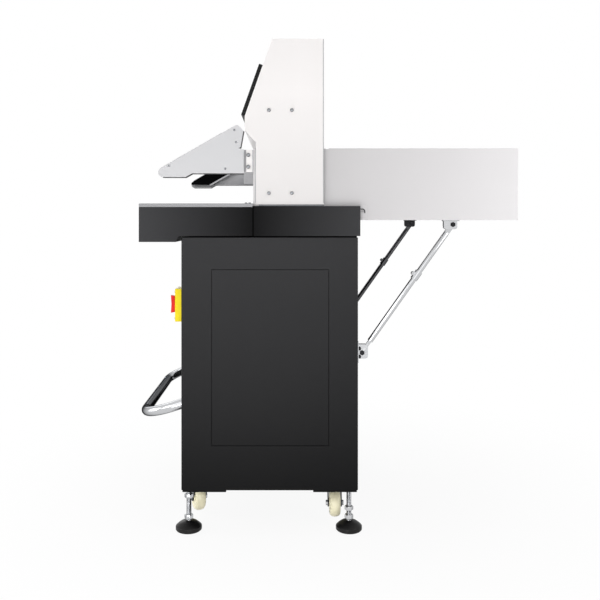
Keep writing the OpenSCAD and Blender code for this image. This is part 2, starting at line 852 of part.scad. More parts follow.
module rear_table() {
    color("#b9babc") difference() {
        union() {
            block([-hood_in, y_bed_rear + 1.2, table_low], [hood_in, y_hood - 8, table_h]);
            for (s = [-1, 1]) translate([s * (hood_in - 60) - 2, y_bed_rear + 1.2, z_floor + hood_t])
                cube([4, y_hood - 8 - y_bed_rear - 1.2, table_low - z_floor - hood_t + eps]);
        }
        block([-slot_half, screw_y + 8, table_low - 1], [slot_half, screw_end, table_h + 1]);
    }
}

module back_gauge() {
    z0 = table_h + slide_gap;
    ribs = 9;
    pitch = (2 * col_in - 40) / (ribs - 1);
    color("#a4a8ac") difference() {
        union() {
            // Face plate, ribs and foot
            block([-col_in + 4, gauge_y, z0], [col_in - 4, gauge_y + 10, z0 + gauge_h]);
            block([-col_in + 4, gauge_y, z0], [col_in - 4, gauge_y + 36, z0 + 10]);
            for (k = [0 : ribs - 1]) across(-col_in + 18 + k * pitch, 5) polygon([
                [gauge_y + 9, z0 + 9], [gauge_y + 36, z0 + 9], [gauge_y + 9, z0 + gauge_h - 4]]);
            // Arm, stem and nut
            block([-35, gauge_y + 30, z0], [35, carriage_y + carriage_w, z0 + 14]);
            block([-10, carriage_y, screw_z], [10, carriage_y + carriage_w, z0 + 1]);
            block([-16, carriage_y, screw_z - 13], [16, carriage_y + carriage_w, screw_z + 13]);
        }
        translate([0, carriage_y - 1, screw_z]) rotate([-90, 0, 0])
            cylinder(d = screw_dia + 2 * fit, h = carriage_w + 2);
    }
}

module gauge_screw() {
    color("#c0c3c7") translate([0, screw_y, screw_z]) rotate([-90, 0, 0])
        cylinder(d = screw_dia, h = screw_end - screw_y - slide_gap);
}

module gauge_bearings() {
    color("#5c6166") for (y = [screw_y, screw_end - bearing_w]) difference() {
        block([-18, y, z_floor + hood_t], [18, y + bearing_w, screw_z + 13]);
        translate([0, y - 1, screw_z]) rotate([-90, 0, 0])
            cylinder(d = screw_dia + 2 * fit, h = bearing_w + 2);
    }
}

module gauge_motor() {
    motor_d = 28;
    foot_d = 12;
    color("#2d2f31") translate([0, screw_end, 0]) union() {
        translate([0, 0, screw_z]) rotate([-90, 0, 0]) cylinder(d = motor_d, h = gauge_motor_l);
        block([-motor_d / 2, 0, z_floor + hood_t], [motor_d / 2, foot_d, screw_z]);
    }
}

// Pedal

pedal_reach = pedal_out / cos(pedal_slope);
bend_r = 100;
bracket_t = 10;
bracket_in = 24;
bracket_r = 20;
flange_w = 40;
flange_t = 4;

module pedal() {
    half = pedal_w / 2;
    straight = pedal_reach - bend_r;
    color("#c9ccd0") translate([0, pivot_y, pivot_z]) rotate([pedal_slope, 0, 0]) union() {
        translate([-half, 0, 0]) rotate([0, 90, 0]) cylinder(d = shaft_dia, h = pedal_w);
        both() {
            translate([half, 0, 0]) rotate([90, 0, 0]) cylinder(d = pedal_dia, h = straight);
            translate([half - bend_r, -straight, 0]) rotate([0, 0, -90])
                rotate_extrude(angle = 90) translate([bend_r, 0]) circle(d = pedal_dia);
        }
        translate([-half + bend_r, -pedal_reach, 0]) rotate([0, 90, 0])
            cylinder(d = pedal_dia, h = pedal_w - 2 * bend_r);
    }
}

// Bearing plates between the arms, bolted to the cabinet's front wall
module pedal_brackets() {
    x1 = pedal_w / 2 - bracket_in;
    y0 = y_cab + cab_t;
    color("#3a3b3d") both() difference() {
        union() {
            block([x1 - bracket_t, y0, pivot_z - bracket_r], [x1, pivot_y, pivot_z + bracket_r]);
            translate([x1 - bracket_t, pivot_y, pivot_z]) rotate([0, 90, 0])
                cylinder(r = bracket_r, h = bracket_t);
            block([x1 - flange_w, y0, pivot_z - 2 * bracket_r], [x1, y0 + flange_t, pivot_z + 2 * bracket_r]);
        }
        translate([x1 - bracket_t - 1, pivot_y, pivot_z]) rotate([0, 90, 0])
            cylinder(d = shaft_dia + 2 * fit, h = bracket_t + 2);
    }
}

// Main switch

switch_x = side_x - 46;
switch_w = 74;
switch_h = 89;
switch_d = 18;
spindle = 8;
knob_gap = 0.5;

module switch_box() {
    color("#f2c81e") difference() {
        block([switch_x - switch_w / 2, y_cab - switch_d, switch_z - switch_h / 2],
              [switch_x + switch_w / 2, y_cab, switch_z + switch_h / 2]);
        translate([switch_x, y_cab - switch_d - 1, switch_z]) rotate([-90, 0, 0])
            cylinder(d = spindle + 2 * fit, h = 13);
    }
}

module switch_knob() {
    color("#d22a22") translate([switch_x, y_cab - switch_d, switch_z]) rotate([90, 0, 0]) union() {
        translate([0, 0, -10]) cylinder(d = spindle, h = 14);
        translate([0, 0, knob_gap]) cylinder(d = 46, h = 5);
        rotate([0, -90, 0]) translate([0, 0, -7]) linear_extrude(14) polygon([
            [knob_gap + 4, -22], [knob_gap + 15, -24], [knob_gap + 13.5, 0],
            [knob_gap + 15, 24], [knob_gap + 4, 22]]);
    }
}

// Cut buttons

cup_d = 26;

module button_bezels() {
    color("#26272a") for (s = [-1, 1]) translate([s * button_x, y_front, button_z]) rotate([-90, 0, 0])
        difference() {
            union() {
                cylinder(d = bezel_neck, h = cup_d);
                translate([0, 0, apron_t]) cylinder(d = bezel_neck + 12, h = 3);
            }
            translate([0, 0, -1]) cylinder(d = button_dia + 2 * fit, h = cup_d - 1);
        }
}

module cut_button(s) {
    color("#2f9e44") translate([s * button_x, y_front + 0.5, button_z]) rotate([-90, 0, 0])
        cylinder(d = button_dia, h = cup_d - 2.6 - button_travel);
}

module cut_button_right() {
    cut_button(1);
}

module cut_button_left() {
    cut_button(-1);
}

// Feet and casters

pad_h = 28;
pad_rim = 15;
nut_w = 24;
nut_h = 10;
// Height of the hexagon above the pad, and of the lock nuts at the front and rear feet
hex_up = 5;
lock_z = [90, 56];

// Outline point of the pad's crown, t from 0 at the rim to 1 at the stud
function crown(t, r) = [(r - 3) * (1 - t) + 9 * t, pad_rim + (pad_h - pad_rim) * t + 2.5 * sin(180 * t)];

module foot_pads() {
    r = pad_dia / 2;
    color("#1b1b1c") for (f = FEET) translate([f[0], f[1], 0]) rotate_extrude() polygon(concat(
        [[0, 0], [r - 3, 0], [r, 3], [r, pad_rim - 3]],
        [for (t = [0 : 0.125 : 1]) crown(t, r)],
        [[0, pad_h]]));
}

module foot_studs() {
    color("#c9ccd0") for (f = FEET) translate([f[0], f[1], 0]) {
        lock = f[1] == foot_y[0] ? lock_z[0] : lock_z[1];
        union() {
            translate([0, 0, pad_h]) cylinder(d = stud_dia, h = leg_h + 30 - pad_h);
            for (z = [pad_h + hex_up, lock]) translate([0, 0, z]) cylinder(d = nut_w, h = nut_h, $fn = 6);
        }
    }
}

trail = 25;
axle_dia = 10;
kingpin = 12;
fork_z = leg_h - plate_t - 14;
fork_gap = wheel_w + 2;

module at_caster(k) {
    translate([CASTERS[k][0], CASTERS[k][1], 0]) rotate([0, 0, CASTERS[k][2]]) children();
}

module caster_plates() {
    color("#8e9195") for (k = [0 : 3]) at_caster(k) union() {
        block([-32, -32, leg_h - plate_t - 3], [32, 32, leg_h - plate_t]);
        translate([0, 0, fork_z + 2]) cylinder(d = kingpin, h = 11);
    }
}

module caster_fork(k) {
    color("#3c3d40") at_caster(k) difference() {
        union() {
            translate([0, 0, fork_z]) cylinder(d = 48, h = 10.5);
            for (s = [-1, 1])
                translate([0, s * (fork_gap / 2 + 1.5) + 1.5, 0]) rotate([90, 0, 0]) linear_extrude(3)
                union() {
                    polygon([[-17, fork_z + 1], [17, fork_z + 1],
                             [trail + 11, wheel_z], [trail - 11, wheel_z]]);
                    translate([trail, wheel_z]) circle(r = 11);
                }
            translate([trail, fork_gap / 2 + 6, wheel_z]) rotate([90, 0, 0])
                cylinder(d = axle_dia, h = fork_gap + 12);
        }
        translate([0, 0, fork_z - 1]) cylinder(d = kingpin + 2 * fit, h = 13);
    }
}

module caster_wheel(k) {
    r = wheel_dia / 2;
    crown = 9;
    color("#efe9cf") at_caster(k) translate([trail, 0, wheel_z]) rotate([90, 0, 0]) rotate_extrude()
        polygon(concat(
            [[axle_dia / 2 + fit, -wheel_w / 2], [12, -wheel_w / 2],
             [14, -wheel_w / 2 + 3], [r - 12, -wheel_w / 2 + 3]],
            [for (a = [-90 : 15 : 90]) [r - crown + crown * cos(a), (wheel_w / 2 - 1) * sin(a)]],
            [[r - 12, wheel_w / 2 - 3], [14, wheel_w / 2 - 3],
             [12, wheel_w / 2], [axle_dia / 2 + fit, wheel_w / 2]]));
}

module caster_fork_1() { caster_fork(0); }
module caster_fork_2() { caster_fork(1); }
module caster_fork_3() { caster_fork(2); }
module caster_fork_4() { caster_fork(3); }
module caster_wheel_1() { caster_wheel(0); }
module caster_wheel_2() { caster_wheel(1); }
module caster_wheel_3() { caster_wheel(2); }
module caster_wheel_4() { caster_wheel(3); }

cabinet_shell();
service_panels();
rear_panel();
base_plates();
bed_frame();
front_apron();
front_table();
bed_plate();
cutting_stick();
side_columns();
crosshead();
tower_side_right();
tower_side_left();
tower_front();
tower_rear();
screen_housing();
screen_glass();
guard_arm_right();
guard_arm_left();
light_strips();
guard_brackets();
rear_table();
hood_shell();
hood_braces();
brace_brackets();
oil_tank();
pump_motor();
valve_block();
clamp_cylinder();
knife_cylinder();
gauge_bearings();
gauge_motor();
pedal_brackets();
switch_box();
button_bezels();
foot_pads();
foot_studs();
caster_plates();
hood_lid();
clamp_beam();
knife_carrier();
knife_blade();
back_gauge();
gauge_screw();
pedal();
switch_knob();
cut_button_right();
cut_button_left();
caster_fork_1();
caster_fork_2();
caster_fork_3();
caster_fork_4();
caster_wheel_1();
caster_wheel_2();
caster_wheel_3();
caster_wheel_4();
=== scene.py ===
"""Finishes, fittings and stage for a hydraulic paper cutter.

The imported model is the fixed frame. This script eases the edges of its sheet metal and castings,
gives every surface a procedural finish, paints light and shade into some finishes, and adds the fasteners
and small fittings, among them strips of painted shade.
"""

import json
import math

import bmesh
import bpy
import numpy as np
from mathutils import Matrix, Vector

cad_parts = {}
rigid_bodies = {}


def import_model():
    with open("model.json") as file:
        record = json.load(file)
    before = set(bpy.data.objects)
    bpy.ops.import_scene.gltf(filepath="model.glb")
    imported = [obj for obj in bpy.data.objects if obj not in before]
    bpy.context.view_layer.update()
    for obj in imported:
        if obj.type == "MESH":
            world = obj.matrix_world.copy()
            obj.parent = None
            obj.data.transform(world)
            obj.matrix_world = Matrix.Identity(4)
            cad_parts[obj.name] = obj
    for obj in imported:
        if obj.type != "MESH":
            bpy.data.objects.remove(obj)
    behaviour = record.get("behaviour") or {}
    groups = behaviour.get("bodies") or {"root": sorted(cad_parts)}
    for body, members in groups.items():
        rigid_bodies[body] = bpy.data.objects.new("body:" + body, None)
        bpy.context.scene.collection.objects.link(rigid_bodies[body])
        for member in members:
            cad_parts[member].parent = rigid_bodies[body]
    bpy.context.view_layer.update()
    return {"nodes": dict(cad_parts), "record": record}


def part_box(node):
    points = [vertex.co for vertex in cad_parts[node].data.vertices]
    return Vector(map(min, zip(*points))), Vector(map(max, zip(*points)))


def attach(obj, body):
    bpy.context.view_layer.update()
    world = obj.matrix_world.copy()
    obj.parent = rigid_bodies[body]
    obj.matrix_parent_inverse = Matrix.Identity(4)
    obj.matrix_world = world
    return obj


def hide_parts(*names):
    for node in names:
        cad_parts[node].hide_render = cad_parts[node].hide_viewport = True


bl_info = {
    "name": "Hydraulic Paper Cutter",
    "version": (1, 0, 0),
    "blender": (4, 5, 0),
    "location": "View3D > Sidebar > Paper Cutter",
    "description": "Finishes, fittings and stage for a floor-standing hydraulic paper cutter",
    "category": "Object",
}

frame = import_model()
MM = 0.001
UM = 0.000001
TURN = 2 * math.pi

# Driving places taken from the frame
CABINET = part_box("cabinet_shell")
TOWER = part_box("tower_side_right")
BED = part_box("bed_frame")
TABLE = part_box("front_table")
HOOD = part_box("hood_shell")
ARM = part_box("guard_arm_right")
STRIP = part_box("light_strips")
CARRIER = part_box("knife_carrier")
BRACE_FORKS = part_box("brace_brackets")
SIDE_X = CABINET[1].x
JOINTS = {joint["name"]: joint for joint in frame["record"]["behaviour"]["joints"]}


def srgb(code):
    """Linear colour of a web colour code, by the sRGB curve."""
    channels = [int(code[i:i + 2], 16) / 255 for i in (0, 2, 4)]
    return [c / 12.92 if c <= 0.04045 else ((c + 0.055) / 1.055) ** 2.4 for c in channels]


def colour_prop(name, description, code):
    return bpy.props.FloatVectorProperty(
        name=name, description=description, subtype="COLOR", size=3, min=0, max=1, default=srgb(code))


def length_prop(name, description, millimetres):
    return bpy.props.FloatProperty(
        name=name, description=description, unit="LENGTH", min=0, default=millimetres * MM)


class CutterFinishes(bpy.types.PropertyGroup):
    """Colours of the painted, moulded and bare surfaces, and of the light and shade painted onto some of
    them.
    """

    tower_white: colour_prop("Tower white", "Powder coat of the tower covers", "F4F1F0")
    column_white: colour_prop("Column white", "Paint on the fronts of the columns", "DEDCDC")
    # Grey of the painted shade on the tower's folded edges.
    fold_shade_grey: colour_prop("Fold shade grey", "Folded edges of the tower covers", "B4B4B6")
    gap_shade_grey: colour_prop("Gap grey", "Shaded seam between the arms and their brackets", "98989A")
    # The arm grey also serves as painted shade on the inner faces of the arm brackets.
    arm_grey: colour_prop("Arm grey", "Powder coat of the light-guard arms", "D5D5D7")
    hood_grey: colour_prop("Hood grey", "Powder coat of the rear hood", "D9D7D8")
    cabinet_black: colour_prop("Cabinet black", "Powder coat of the cabinet", "29292A")
    bed_black: colour_prop("Bed black", "Enamel of the bed frame and apron", "202021")
    table_steel: colour_prop("Table steel", "Ground steel of the tables", "868688")
    casting_grey: colour_prop("Casting grey", "Machined castings inside the tower", "8A8D91")
    chrome: colour_prop("Chrome", "Plated tubes, studs and bolts", "C8C9CB")
    # Real black plating of the small bolts and clips, and painted shade on the left brace fork.
    black_plating_and_shade: colour_prop("Black plating and shade", "Dark plating of the small bolts, and painted shade on the left fork", "303032")
    # Darker copy of the chrome for the left brace's tube: painted shade and dark reflection.
    shaded_chrome: colour_prop("Shaded chrome", "Painted dark reflection on the left brace's tube", "505052")
    # Black of the painted shadow in the bed's seams.
    seam_shadow_black: colour_prop("Seam shadow black", "Painted shadow in the seams of the bed", "030303")
    bolt_steel: colour_prop("Bolt steel", "Zinc-plated screws and rivets", "8C8E91")
    machined_steel: colour_prop("Machined steel", "Clamp, carrier and gauge", "B0B3B8")
    knife_steel: colour_prop("Knife steel", "Ground tool steel of the blade", "D3D6DA")
    moulded_black: colour_prop("Moulded black", "Screen housing, infrared strips and bezels", "0E0E0F")
    screen_dark: colour_prop("Screen", "Face of the dark screen", "0F1216")
    switch_yellow: colour_prop("Switch yellow", "Plate of the main switch", "F0DA20")
    switch_red: colour_prop("Switch red", "Handle of the main switch", "DC2A24")
    button_green: colour_prop("Button green", "Caps of the cut buttons", "2E9B45")
    pad_black: colour_prop("Pad black", "Moulded foot pads", "070708")
    fork_zinc: colour_prop("Fork zinc", "Dark plating of the caster forks", "3A3A3C")
    wheel_cream: colour_prop("Wheel cream", "Nylon caster wheels", "FFF8D6")
    stick_ivory: colour_prop("Stick ivory", "Polyamide cutting stick", "E6DFC6")
    unit_blue: colour_prop("Unit blue", "Enamel of the hydraulic unit", "4B5A66")


class CutterFittings(bpy.types.PropertyGroup):
    """Sizes of the fasteners and other small fittings."""

    cover_screw: length_prop("Cover screw", "Head diameter of the tower cover screws", 10)
    arm_rivet: length_prop("Arm rivet", "Head diameter of the rivets in the arms", 6)
    bracket_bolt: length_prop("Bracket bolt", "Head diameter of the bracket bolts", 11)
    table_screw: length_prop("Table screw", "Head diameter of the table screws", 8)
    plate_screw: length_prop("Plate screw", "Head diameter of the screws in plates and panels", 6)
    knife_bolt: length_prop("Knife bolt", "Head diameter of the knife bolts", 15)
    knife_bolt_pitch: length_prop("Knife bolt pitch", "Distance between the knife bolts", 70)
    pivot_bolt: length_prop("Pivot bolt", "Width across flats of the bolts in the braces", 12)
    axle_nut: length_prop("Axle nut", "Width across flats of the caster nuts", 13)
    foot_nut: length_prop("Foot nut", "Width across flats of the nuts on the feet", 21)
    foot_stud: length_prop("Foot stud", "Diameter of the foot studs", 14)
    foot_pad: length_prop("Foot pad", "Radius of the foot pads", 36)
    thread_pitch: length_prop("Thread pitch", "Pitch of the foot studs", 2)
    # The black strips under the arms are painted shade.
    shade_trim: length_prop("Edging", "Thickness of the black edging under the arms", 1.2)


class CutterStage(bpy.types.PropertyGroup):
    """Camera place and lens."""

    eye_distance: length_prop("Eye distance", "Camera distance from the machine's right side", 2063)
    eye_height: length_prop("Eye height", "Camera height above the floor", 858)
    eye_offset: bpy.props.FloatProperty(
        name="Eye offset", description="Camera place along the depth", unit="LENGTH", default=-0.108)
    focal: bpy.props.FloatProperty(name="Focal length", description="Lens in millimetres", default=45.84)
    shift_x: bpy.props.FloatProperty(name="Shift X", description="Sideways lens shift", default=0.025)
    shift_y: bpy.props.FloatProperty(name="Shift Y", description="Upward lens shift", default=-0.135)


# Surfaces

WELD = 1e-6
NODE_WELD = 2e-6
FLAT_ANGLE = math.radians(0.5)
EDGE_ANGLE = math.radians(32)
BEVEL_SEGMENTS = 2


def grid_faces(rows, cols):
    """Quads of a grid of rows by cols points, whose columns close into rings."""
    i, j = np.meshgrid(np.arange(rows - 1), np.arange(cols), indexing="ij")
    k = (j + 1) % cols
    quads = np.stack([i * cols + j, i * cols + k, (i + 1) * cols + k, (i + 1) * cols + j], axis=-1)
    return quads.reshape(-1, 4)


def ring_angles(segments):
    """Angles of points spaced evenly round a ring."""
    return np.arange(segments) * TURN / segments


def headings(path):
    """Unit direction of a path at each of its points."""
    along = np.gradient(path, axis=0)
    return along / np.linalg.norm(along, axis=1, keepdims=True)


def capped(rings, tips):
    """Rings of points, closed at each end by a ring that has shrunk to a tip."""
    first, last = [np.broadcast_to(tip, rings[:1].shape) for tip in tips]
    rings = np.concatenate([first, rings, last])
    return rings.reshape(-1, 3), grid_faces(len(rings), rings.shape[1])


def revolve(profile, segments, outline=np.ones_like):
    """Profile of (radius, height) carried round Z: x = r cos t, y = r sin t, z = h.
    outline(t) multiplies the radius, so that a head can be six-sided."""
    profile = np.asarray(profile, float)
    t = ring_angles(segments)
    r = profile[:, 0:1] * outline(t)
    z = np.repeat(profile[:, 1:2], segments, axis=1)
    points = np.stack([r * np.cos(t), r * np.sin(t), z], axis=-1)
    return points.reshape(-1, 3), grid_faces(len(profile), segments)


def six_sides(t):
    """Radius of a hexagon of unit half-width at the angle t: 1 / cos of the angle from the nearest flat."""
    return 1 / np.cos((t + math.pi / 6) % (math.pi / 3) - math.pi / 6)


def ribbon(path, x_low, x_high, thickness):
    """Flat strip along a path of (y, z) points: a rectangle from x_low to x_high is carried along the path,
    and stands out by thickness to the right of the way the path goes."""
    path = np.asarray(path, float)
    along = headings(path)
    out = path + thickness * np.stack([along[:, 1], -along[:, 0]], axis=-1)
    corners = [(x_low, path), (x_high, path), (x_high, out), (x_low, out)]
    points = np.stack([np.column_stack([np.full(len(path), x), p]) for x, p in corners], axis=1)
    ends = np.array([[3, 2, 1, 0], [0, 1, 2, 3]]) + np.array([[0], [4 * (len(path) - 1)]])
    return points.reshape(-1, 3), np.concatenate([grid_faces(len(path), 4), ends])


def upright(y, low, high):
    """Path straight up, from the height low to the height high."""
    return [(y, low), (y, high)]


def tube(path, radius, segments=16):
    """Round wire along a path of points in a plane of constant x: a circle, square to the path,
    is carried along it, and shrinks to a point at both ends."""
    path = np.asarray(path, float)
    side = np.broadcast_to([1.0, 0.0, 0.0], path.shape)
    up = np.cross(side, headings(path))
    t = ring_angles(segments)
    ring = side[:, None] * np.cos(t)[None, :, None] + up[:, None] * np.sin(t)[None, :, None]
    return capped(path[:, None] + radius * ring, path[[0, -1]])


def put(shape, origin, axis=(0, 0, 1)):
    """The shape turned so that its Z lies along axis and moved to origin."""
    points, faces = shape
    turned = np.array(Vector(axis).normalized().to_track_quat("Z", "Y").to_matrix())
    return points @ turned.T + np.asarray(origin, float), faces


def gather(shapes):
    """Several shapes as one list of points and faces."""
    points, faces, count = [], [], 0
    for p, f in shapes:
        points.append(p)
        faces.append(f + count)
        count += len(p)
    return np.concatenate(points), np.concatenate(faces)


def both_sides(shape):
    """The shape and its mirror image on the machine's other side."""
    points, faces = shape
    return gather([shape, (points * [-1, 1, 1], faces)])


def twins(head, places, axis=None, way=1):
    """The head at each (x, y, z) on the right side and at its twin on the left. It points along axis,
    or outwards from the machine's sides where way is 1, and inwards where it is -1."""
    spots = [(s * x, y, z, s) for x, y, z in places for s in (1, -1)]
    return gather([put(head, (x, y, z), axis or (s * way, 0, 0)) for x, y, z, s in spots])


def placed(name, data):
    """A new object of the data, in the scene."""
    made = bpy.data.objects.new(name, data)
    bpy.context.scene.collection.objects.link(made)
    return made


def piece(name, shape, look, body="frame", smooth=35):
    """A mesh object of the shape, its doubles merged and its faces turned outwards, in the named finish."""
    points, faces = shape
    mesh = bpy.data.meshes.new(name)
    mesh.from_pydata(points.tolist(), [], faces.tolist())
    work = bmesh.new()
    work.from_mesh(mesh)
    bmesh.ops.remove_doubles(work, verts=work.verts, dist=WELD)
    bmesh.ops.dissolve_degenerate(work, edges=work.edges, dist=WELD)
    bmesh.ops.recalc_face_normals(work, faces=work.faces)
    work.to_mesh(mesh)
    work.free()
    mesh.shade_smooth()
    mesh.set_sharp_from_angle(angle=math.radians(smooth))
    mesh.materials.append(finish(look))
    made = placed(name, mesh)
    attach(made, body)
    return made


def body_of_node(node):
    bodies = frame["record"]["behaviour"]["bodies"]
    return next(body for body, members in bodies.items() if node in members)


def slot_of_node(node):
    return next(s["material_slot"] for s in frame["record"]["subparts"] if s["node"] == node)


def eased(node, material, width):
    """A copy of a node's mesh, merged, with flat faces rejoined and curved ones shaded smooth, whose edges
    are rounded by width. It stands for the node."""
    mesh = frame["nodes"][node].data.copy()
    mesh.name = node + "_eased"
    work = bmesh.new()
    work.from_mesh(mesh)
    bmesh.ops.remove_doubles(work, verts=work.verts, dist=NODE_WELD)
    bmesh.ops.dissolve_limit(
        work, angle_limit=FLAT_ANGLE, verts=work.verts, edges=work.edges, delimit={"NORMAL"})
    work.to_mesh(mesh)
    work.free()
    mesh.materials.clear()
    mesh.materials.append(material)
    mesh.shade_smooth()
    mesh.set_sharp_from_angle(angle=EDGE_ANGLE)
    made = placed(node + "_eased", mesh)
    if width:
        bevel = made.modifiers.new("edge rounding", "BEVEL")
        bevel.width = width
        bevel.segments = BEVEL_SEGMENTS
        bevel.limit_method = "ANGLE"
        bevel.angle_limit = EDGE_ANGLE
        bevel.harden_normals = True
    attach(made, body_of_node(node))
    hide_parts(node)
    return made


# Shader nodes


def feed(tree, socket, value):
    """Links the value to the input if it is a socket, and otherwise sets the input to it."""
    if isinstance(value, bpy.types.NodeSocket):
        tree.links.new(value, socket)
    else:
        socket.default_value = value


def preset(node, **values):
    """Sets inputs of a node to plain values; _ stands for a space in their names."""
    for label, value in values.items():
        node.inputs[label.replace("_", " ")].default_value = value


def math_node(tree, operation, a, b=0.0):
    """A Math node of two values, each a socket or a number."""
    node = tree.nodes.new("ShaderNodeMath")
    node.operation = operation
    feed(tree, node.inputs[0], a)
    feed(tree, node.inputs[1], b)
    return node.outputs[0]


def noise_node(tree, vector, scale, detail, roughness=0.5):
    node = tree.nodes.new("ShaderNodeTexNoise")
    settings = (("Vector", vector), ("Scale", scale), ("Detail", detail), ("Roughness", roughness))
    for label, value in settings:
        feed(tree, node.inputs[label], value)
    return node.outputs["Fac"]


def spread(tree, value, low, high):
    """The value mapped from 0..1 to low..high; low and high are sockets or numbers."""
    node = tree.nodes.new("ShaderNodeMapRange")
    for label, part in (("Value", value), ("To Min", low), ("To Max", high)):
        feed(tree, node.inputs[label], part)
    return node.outputs["Result"]


def object_coords(tree):
    return tree.nodes.new("ShaderNodeTexCoord").outputs["Object"]


def split_axes(tree, vector):
    """The X, Y and Z of a vector."""
    parts = tree.nodes.new("ShaderNodeSeparateXYZ")
    tree.links.new(vector, parts.inputs[0])
    return parts.outputs


def mixed(tree, factor, a, b, blend="MIX"):
    """Two colours mixed; factor, a and b are sockets or plain values."""
    mix = tree.nodes.new("ShaderNodeMix")
    mix.data_type = "RGBA"
    mix.blend_type = blend
    for label, value in (("Factor", factor), ("A", a), ("B", b)):
        feed(tree, mix.inputs[label], value)
    return mix.outputs["Result"]


def grey(value):
    return (value, value, value, 1)


# Shader node groups


def new_group(name, inputs, outputs):
    """A shader node group of float sockets: the group, its inputs with their defaults, its outputs."""
    group = bpy.data.node_groups.new(name, "ShaderNodeTree")
    for label, default in inputs.items():
        socket = group.interface.new_socket(label, in_out="INPUT", socket_type="NodeSocketFloat")
        socket.default_value = default
    for label in outputs:
        group.interface.new_socket(label, in_out="OUTPUT", socket_type="NodeSocketFloat")
    source = group.nodes.new("NodeGroupInput")
    sink = group.nodes.new("NodeGroupOutput")
    return group, source.outputs, sink.inputs


def link_finish(group, given, out, height, drift):
    """Links Height, and the Tone and Roughness that follow the drift within the given ranges."""
    tone_range = given["Tone Range"]
    tone = spread(group, drift, math_node(group, "SUBTRACT", 1.0, tone_range),
                  math_node(group, "ADD", 1.0, tone_range))
    rough = spread(group, drift, given["Rough Low"], given["Rough High"])
    for label, value in (("Height", height), ("Tone", tone), ("Roughness", rough)):
        group.links.new(value, out[label])


def coat_group():
    """Powder coat: fine orange peel in Height, slow drift in Tone and Roughness."""
    group, given, out = new_group(
        "powder coat",
        {"Grain": 900.0, "Drift": 5.0, "Tone Range": 0.05, "Rough Low": 0.4, "Rough High": 0.5},
        ("Height", "Tone", "Roughness"))
    coords = object_coords(group)
    peel = noise_node(group, coords, given["Grain"], 2.0)
    drift = noise_node(group, coords, given["Drift"], 4.0, 0.55)
    link_finish(group, given, out, peel, drift)
    return group


def grind_group():
    """Ground or brushed metal: streaks drawn out along one axis, in Height, Tone and Roughness."""
    group, given, out = new_group(
        "grinding streaks",
        {"Along X": 6.0, "Along Y": 400.0, "Along Z": 400.0, "Tone Range": 0.08,
         "Rough Low": 0.28, "Rough High": 0.45},
        ("Height", "Tone", "Roughness"))
    stretch = group.nodes.new("ShaderNodeCombineXYZ")
    for axis in "XYZ":
        group.links.new(given["Along " + axis], stretch.inputs[axis])
    drawn = group.nodes.new("ShaderNodeVectorMath")
    drawn.operation = "MULTIPLY"
    group.links.new(object_coords(group), drawn.inputs[0])
    group.links.new(stretch.outputs[0], drawn.inputs[1])
    streak = noise_node(group, drawn.outputs[0], 1.0, 4.0, 0.6)
    link_finish(group, given, out, streak, streak)
    return group


def dust_group():
    """Floor dust: a mask that fades with height above the floor, broken up by noise."""
    group, given, out = new_group("floor dust", {"Reach": 0.25, "Amount": 0.3}, ("Mask",))
    coords = object_coords(group)
    fade = group.nodes.new("ShaderNodeMapRange")
    preset(fade, To_Min=1.0, To_Max=0.0)
    group.links.new(split_axes(group, coords)["Z"], fade.inputs["Value"])
    group.links.new(given["Reach"], fade.inputs["From Max"])
    specks = noise_node(group, coords, 60.0, 5.0, 0.65)
    patches = math_node(group, "MULTIPLY", fade.outputs[0], specks)
    group.links.new(math_node(group, "MULTIPLY", patches, given["Amount"]), out["Mask"])
    return group


def border_group():
    """Border between two finishes: the mask is 1 where Across times x, plus Outward times the size of x,
    plus Depth times y, plus Height times z, is below Limit."""
    inputs = {"Across": 0.0, "Outward": 0.0, "Depth": 0.0, "Height": 0.0, "Limit": 0.0}
    group, given, out = new_group("finish border", inputs, ("Mask",))
    place = split_axes(group, object_coords(group))
    total = math_node(group, "MULTIPLY", math_node(group, "ABSOLUTE", place["X"]), given["Outward"])
    for label, axis in (("Across", "X"), ("Depth", "Y"), ("Height", "Z")):
        share = math_node(group, "MULTIPLY", place[axis], given[label])
        total = math_node(group, "ADD", total, share)
    group.links.new(math_node(group, "LESS_THAN", total, given["Limit"]), out["Mask"])
    return group


def painted_light_group():
    """Painted light and shade over a piece: Tone goes from Low to High as the distance of
    Depth times y plus Height times z from Start grows from nothing to Reach."""
    inputs = {"Depth": 0.0, "Height": 0.0, "Start": 0.0, "Reach": 1.0, "Low": 1.0, "High": 1.0}
    group, given, out = new_group("painted light ramp", inputs, ("Tone",))
    place = split_axes(group, object_coords(group))
    deep = math_node(group, "MULTIPLY", place["Y"], given["Depth"])
    high = math_node(group, "MULTIPLY", place["Z"], given["Height"])
    from_start = math_node(group, "SUBTRACT", math_node(group, "ADD", deep, high), given["Start"])
    share = math_node(group, "DIVIDE", math_node(group, "ABSOLUTE", from_start), given["Reach"])
    group.links.new(spread(group, share, given["Low"], given["High"]), out["Tone"])
    return group


GROUP_MAKERS = {
    "coat": coat_group, "grind": grind_group, "dust": dust_group, "border": border_group, "ramp": painted_light_group,
}
GROUPS = {}


def place_group(tree, name, **values):
    """A node of the named group, which is built once, with the values set on its inputs."""
    if name not in GROUPS:
        GROUPS[name] = GROUP_MAKERS[name]()
    node = tree.nodes.new("ShaderNodeGroup")
    node.node_tree = GROUPS[name]
    preset(node, **values)
    return node


# Materials

DUST = (0.42, 0.4, 0.37, 1)
POWDER_GRAIN = 1100.0
POWDER_DEPTH = 12
MOULD_GRAIN = 900.0
MOULD_DEPTH = 10
STREAK_ALONG = 6.0
STREAK_ACROSS = 420.0


def blank_material():
    material = bpy.data.materials.new("finish")
    material.use_nodes = True
    tree = material.node_tree
    return material, tree, tree.nodes["Principled BSDF"]


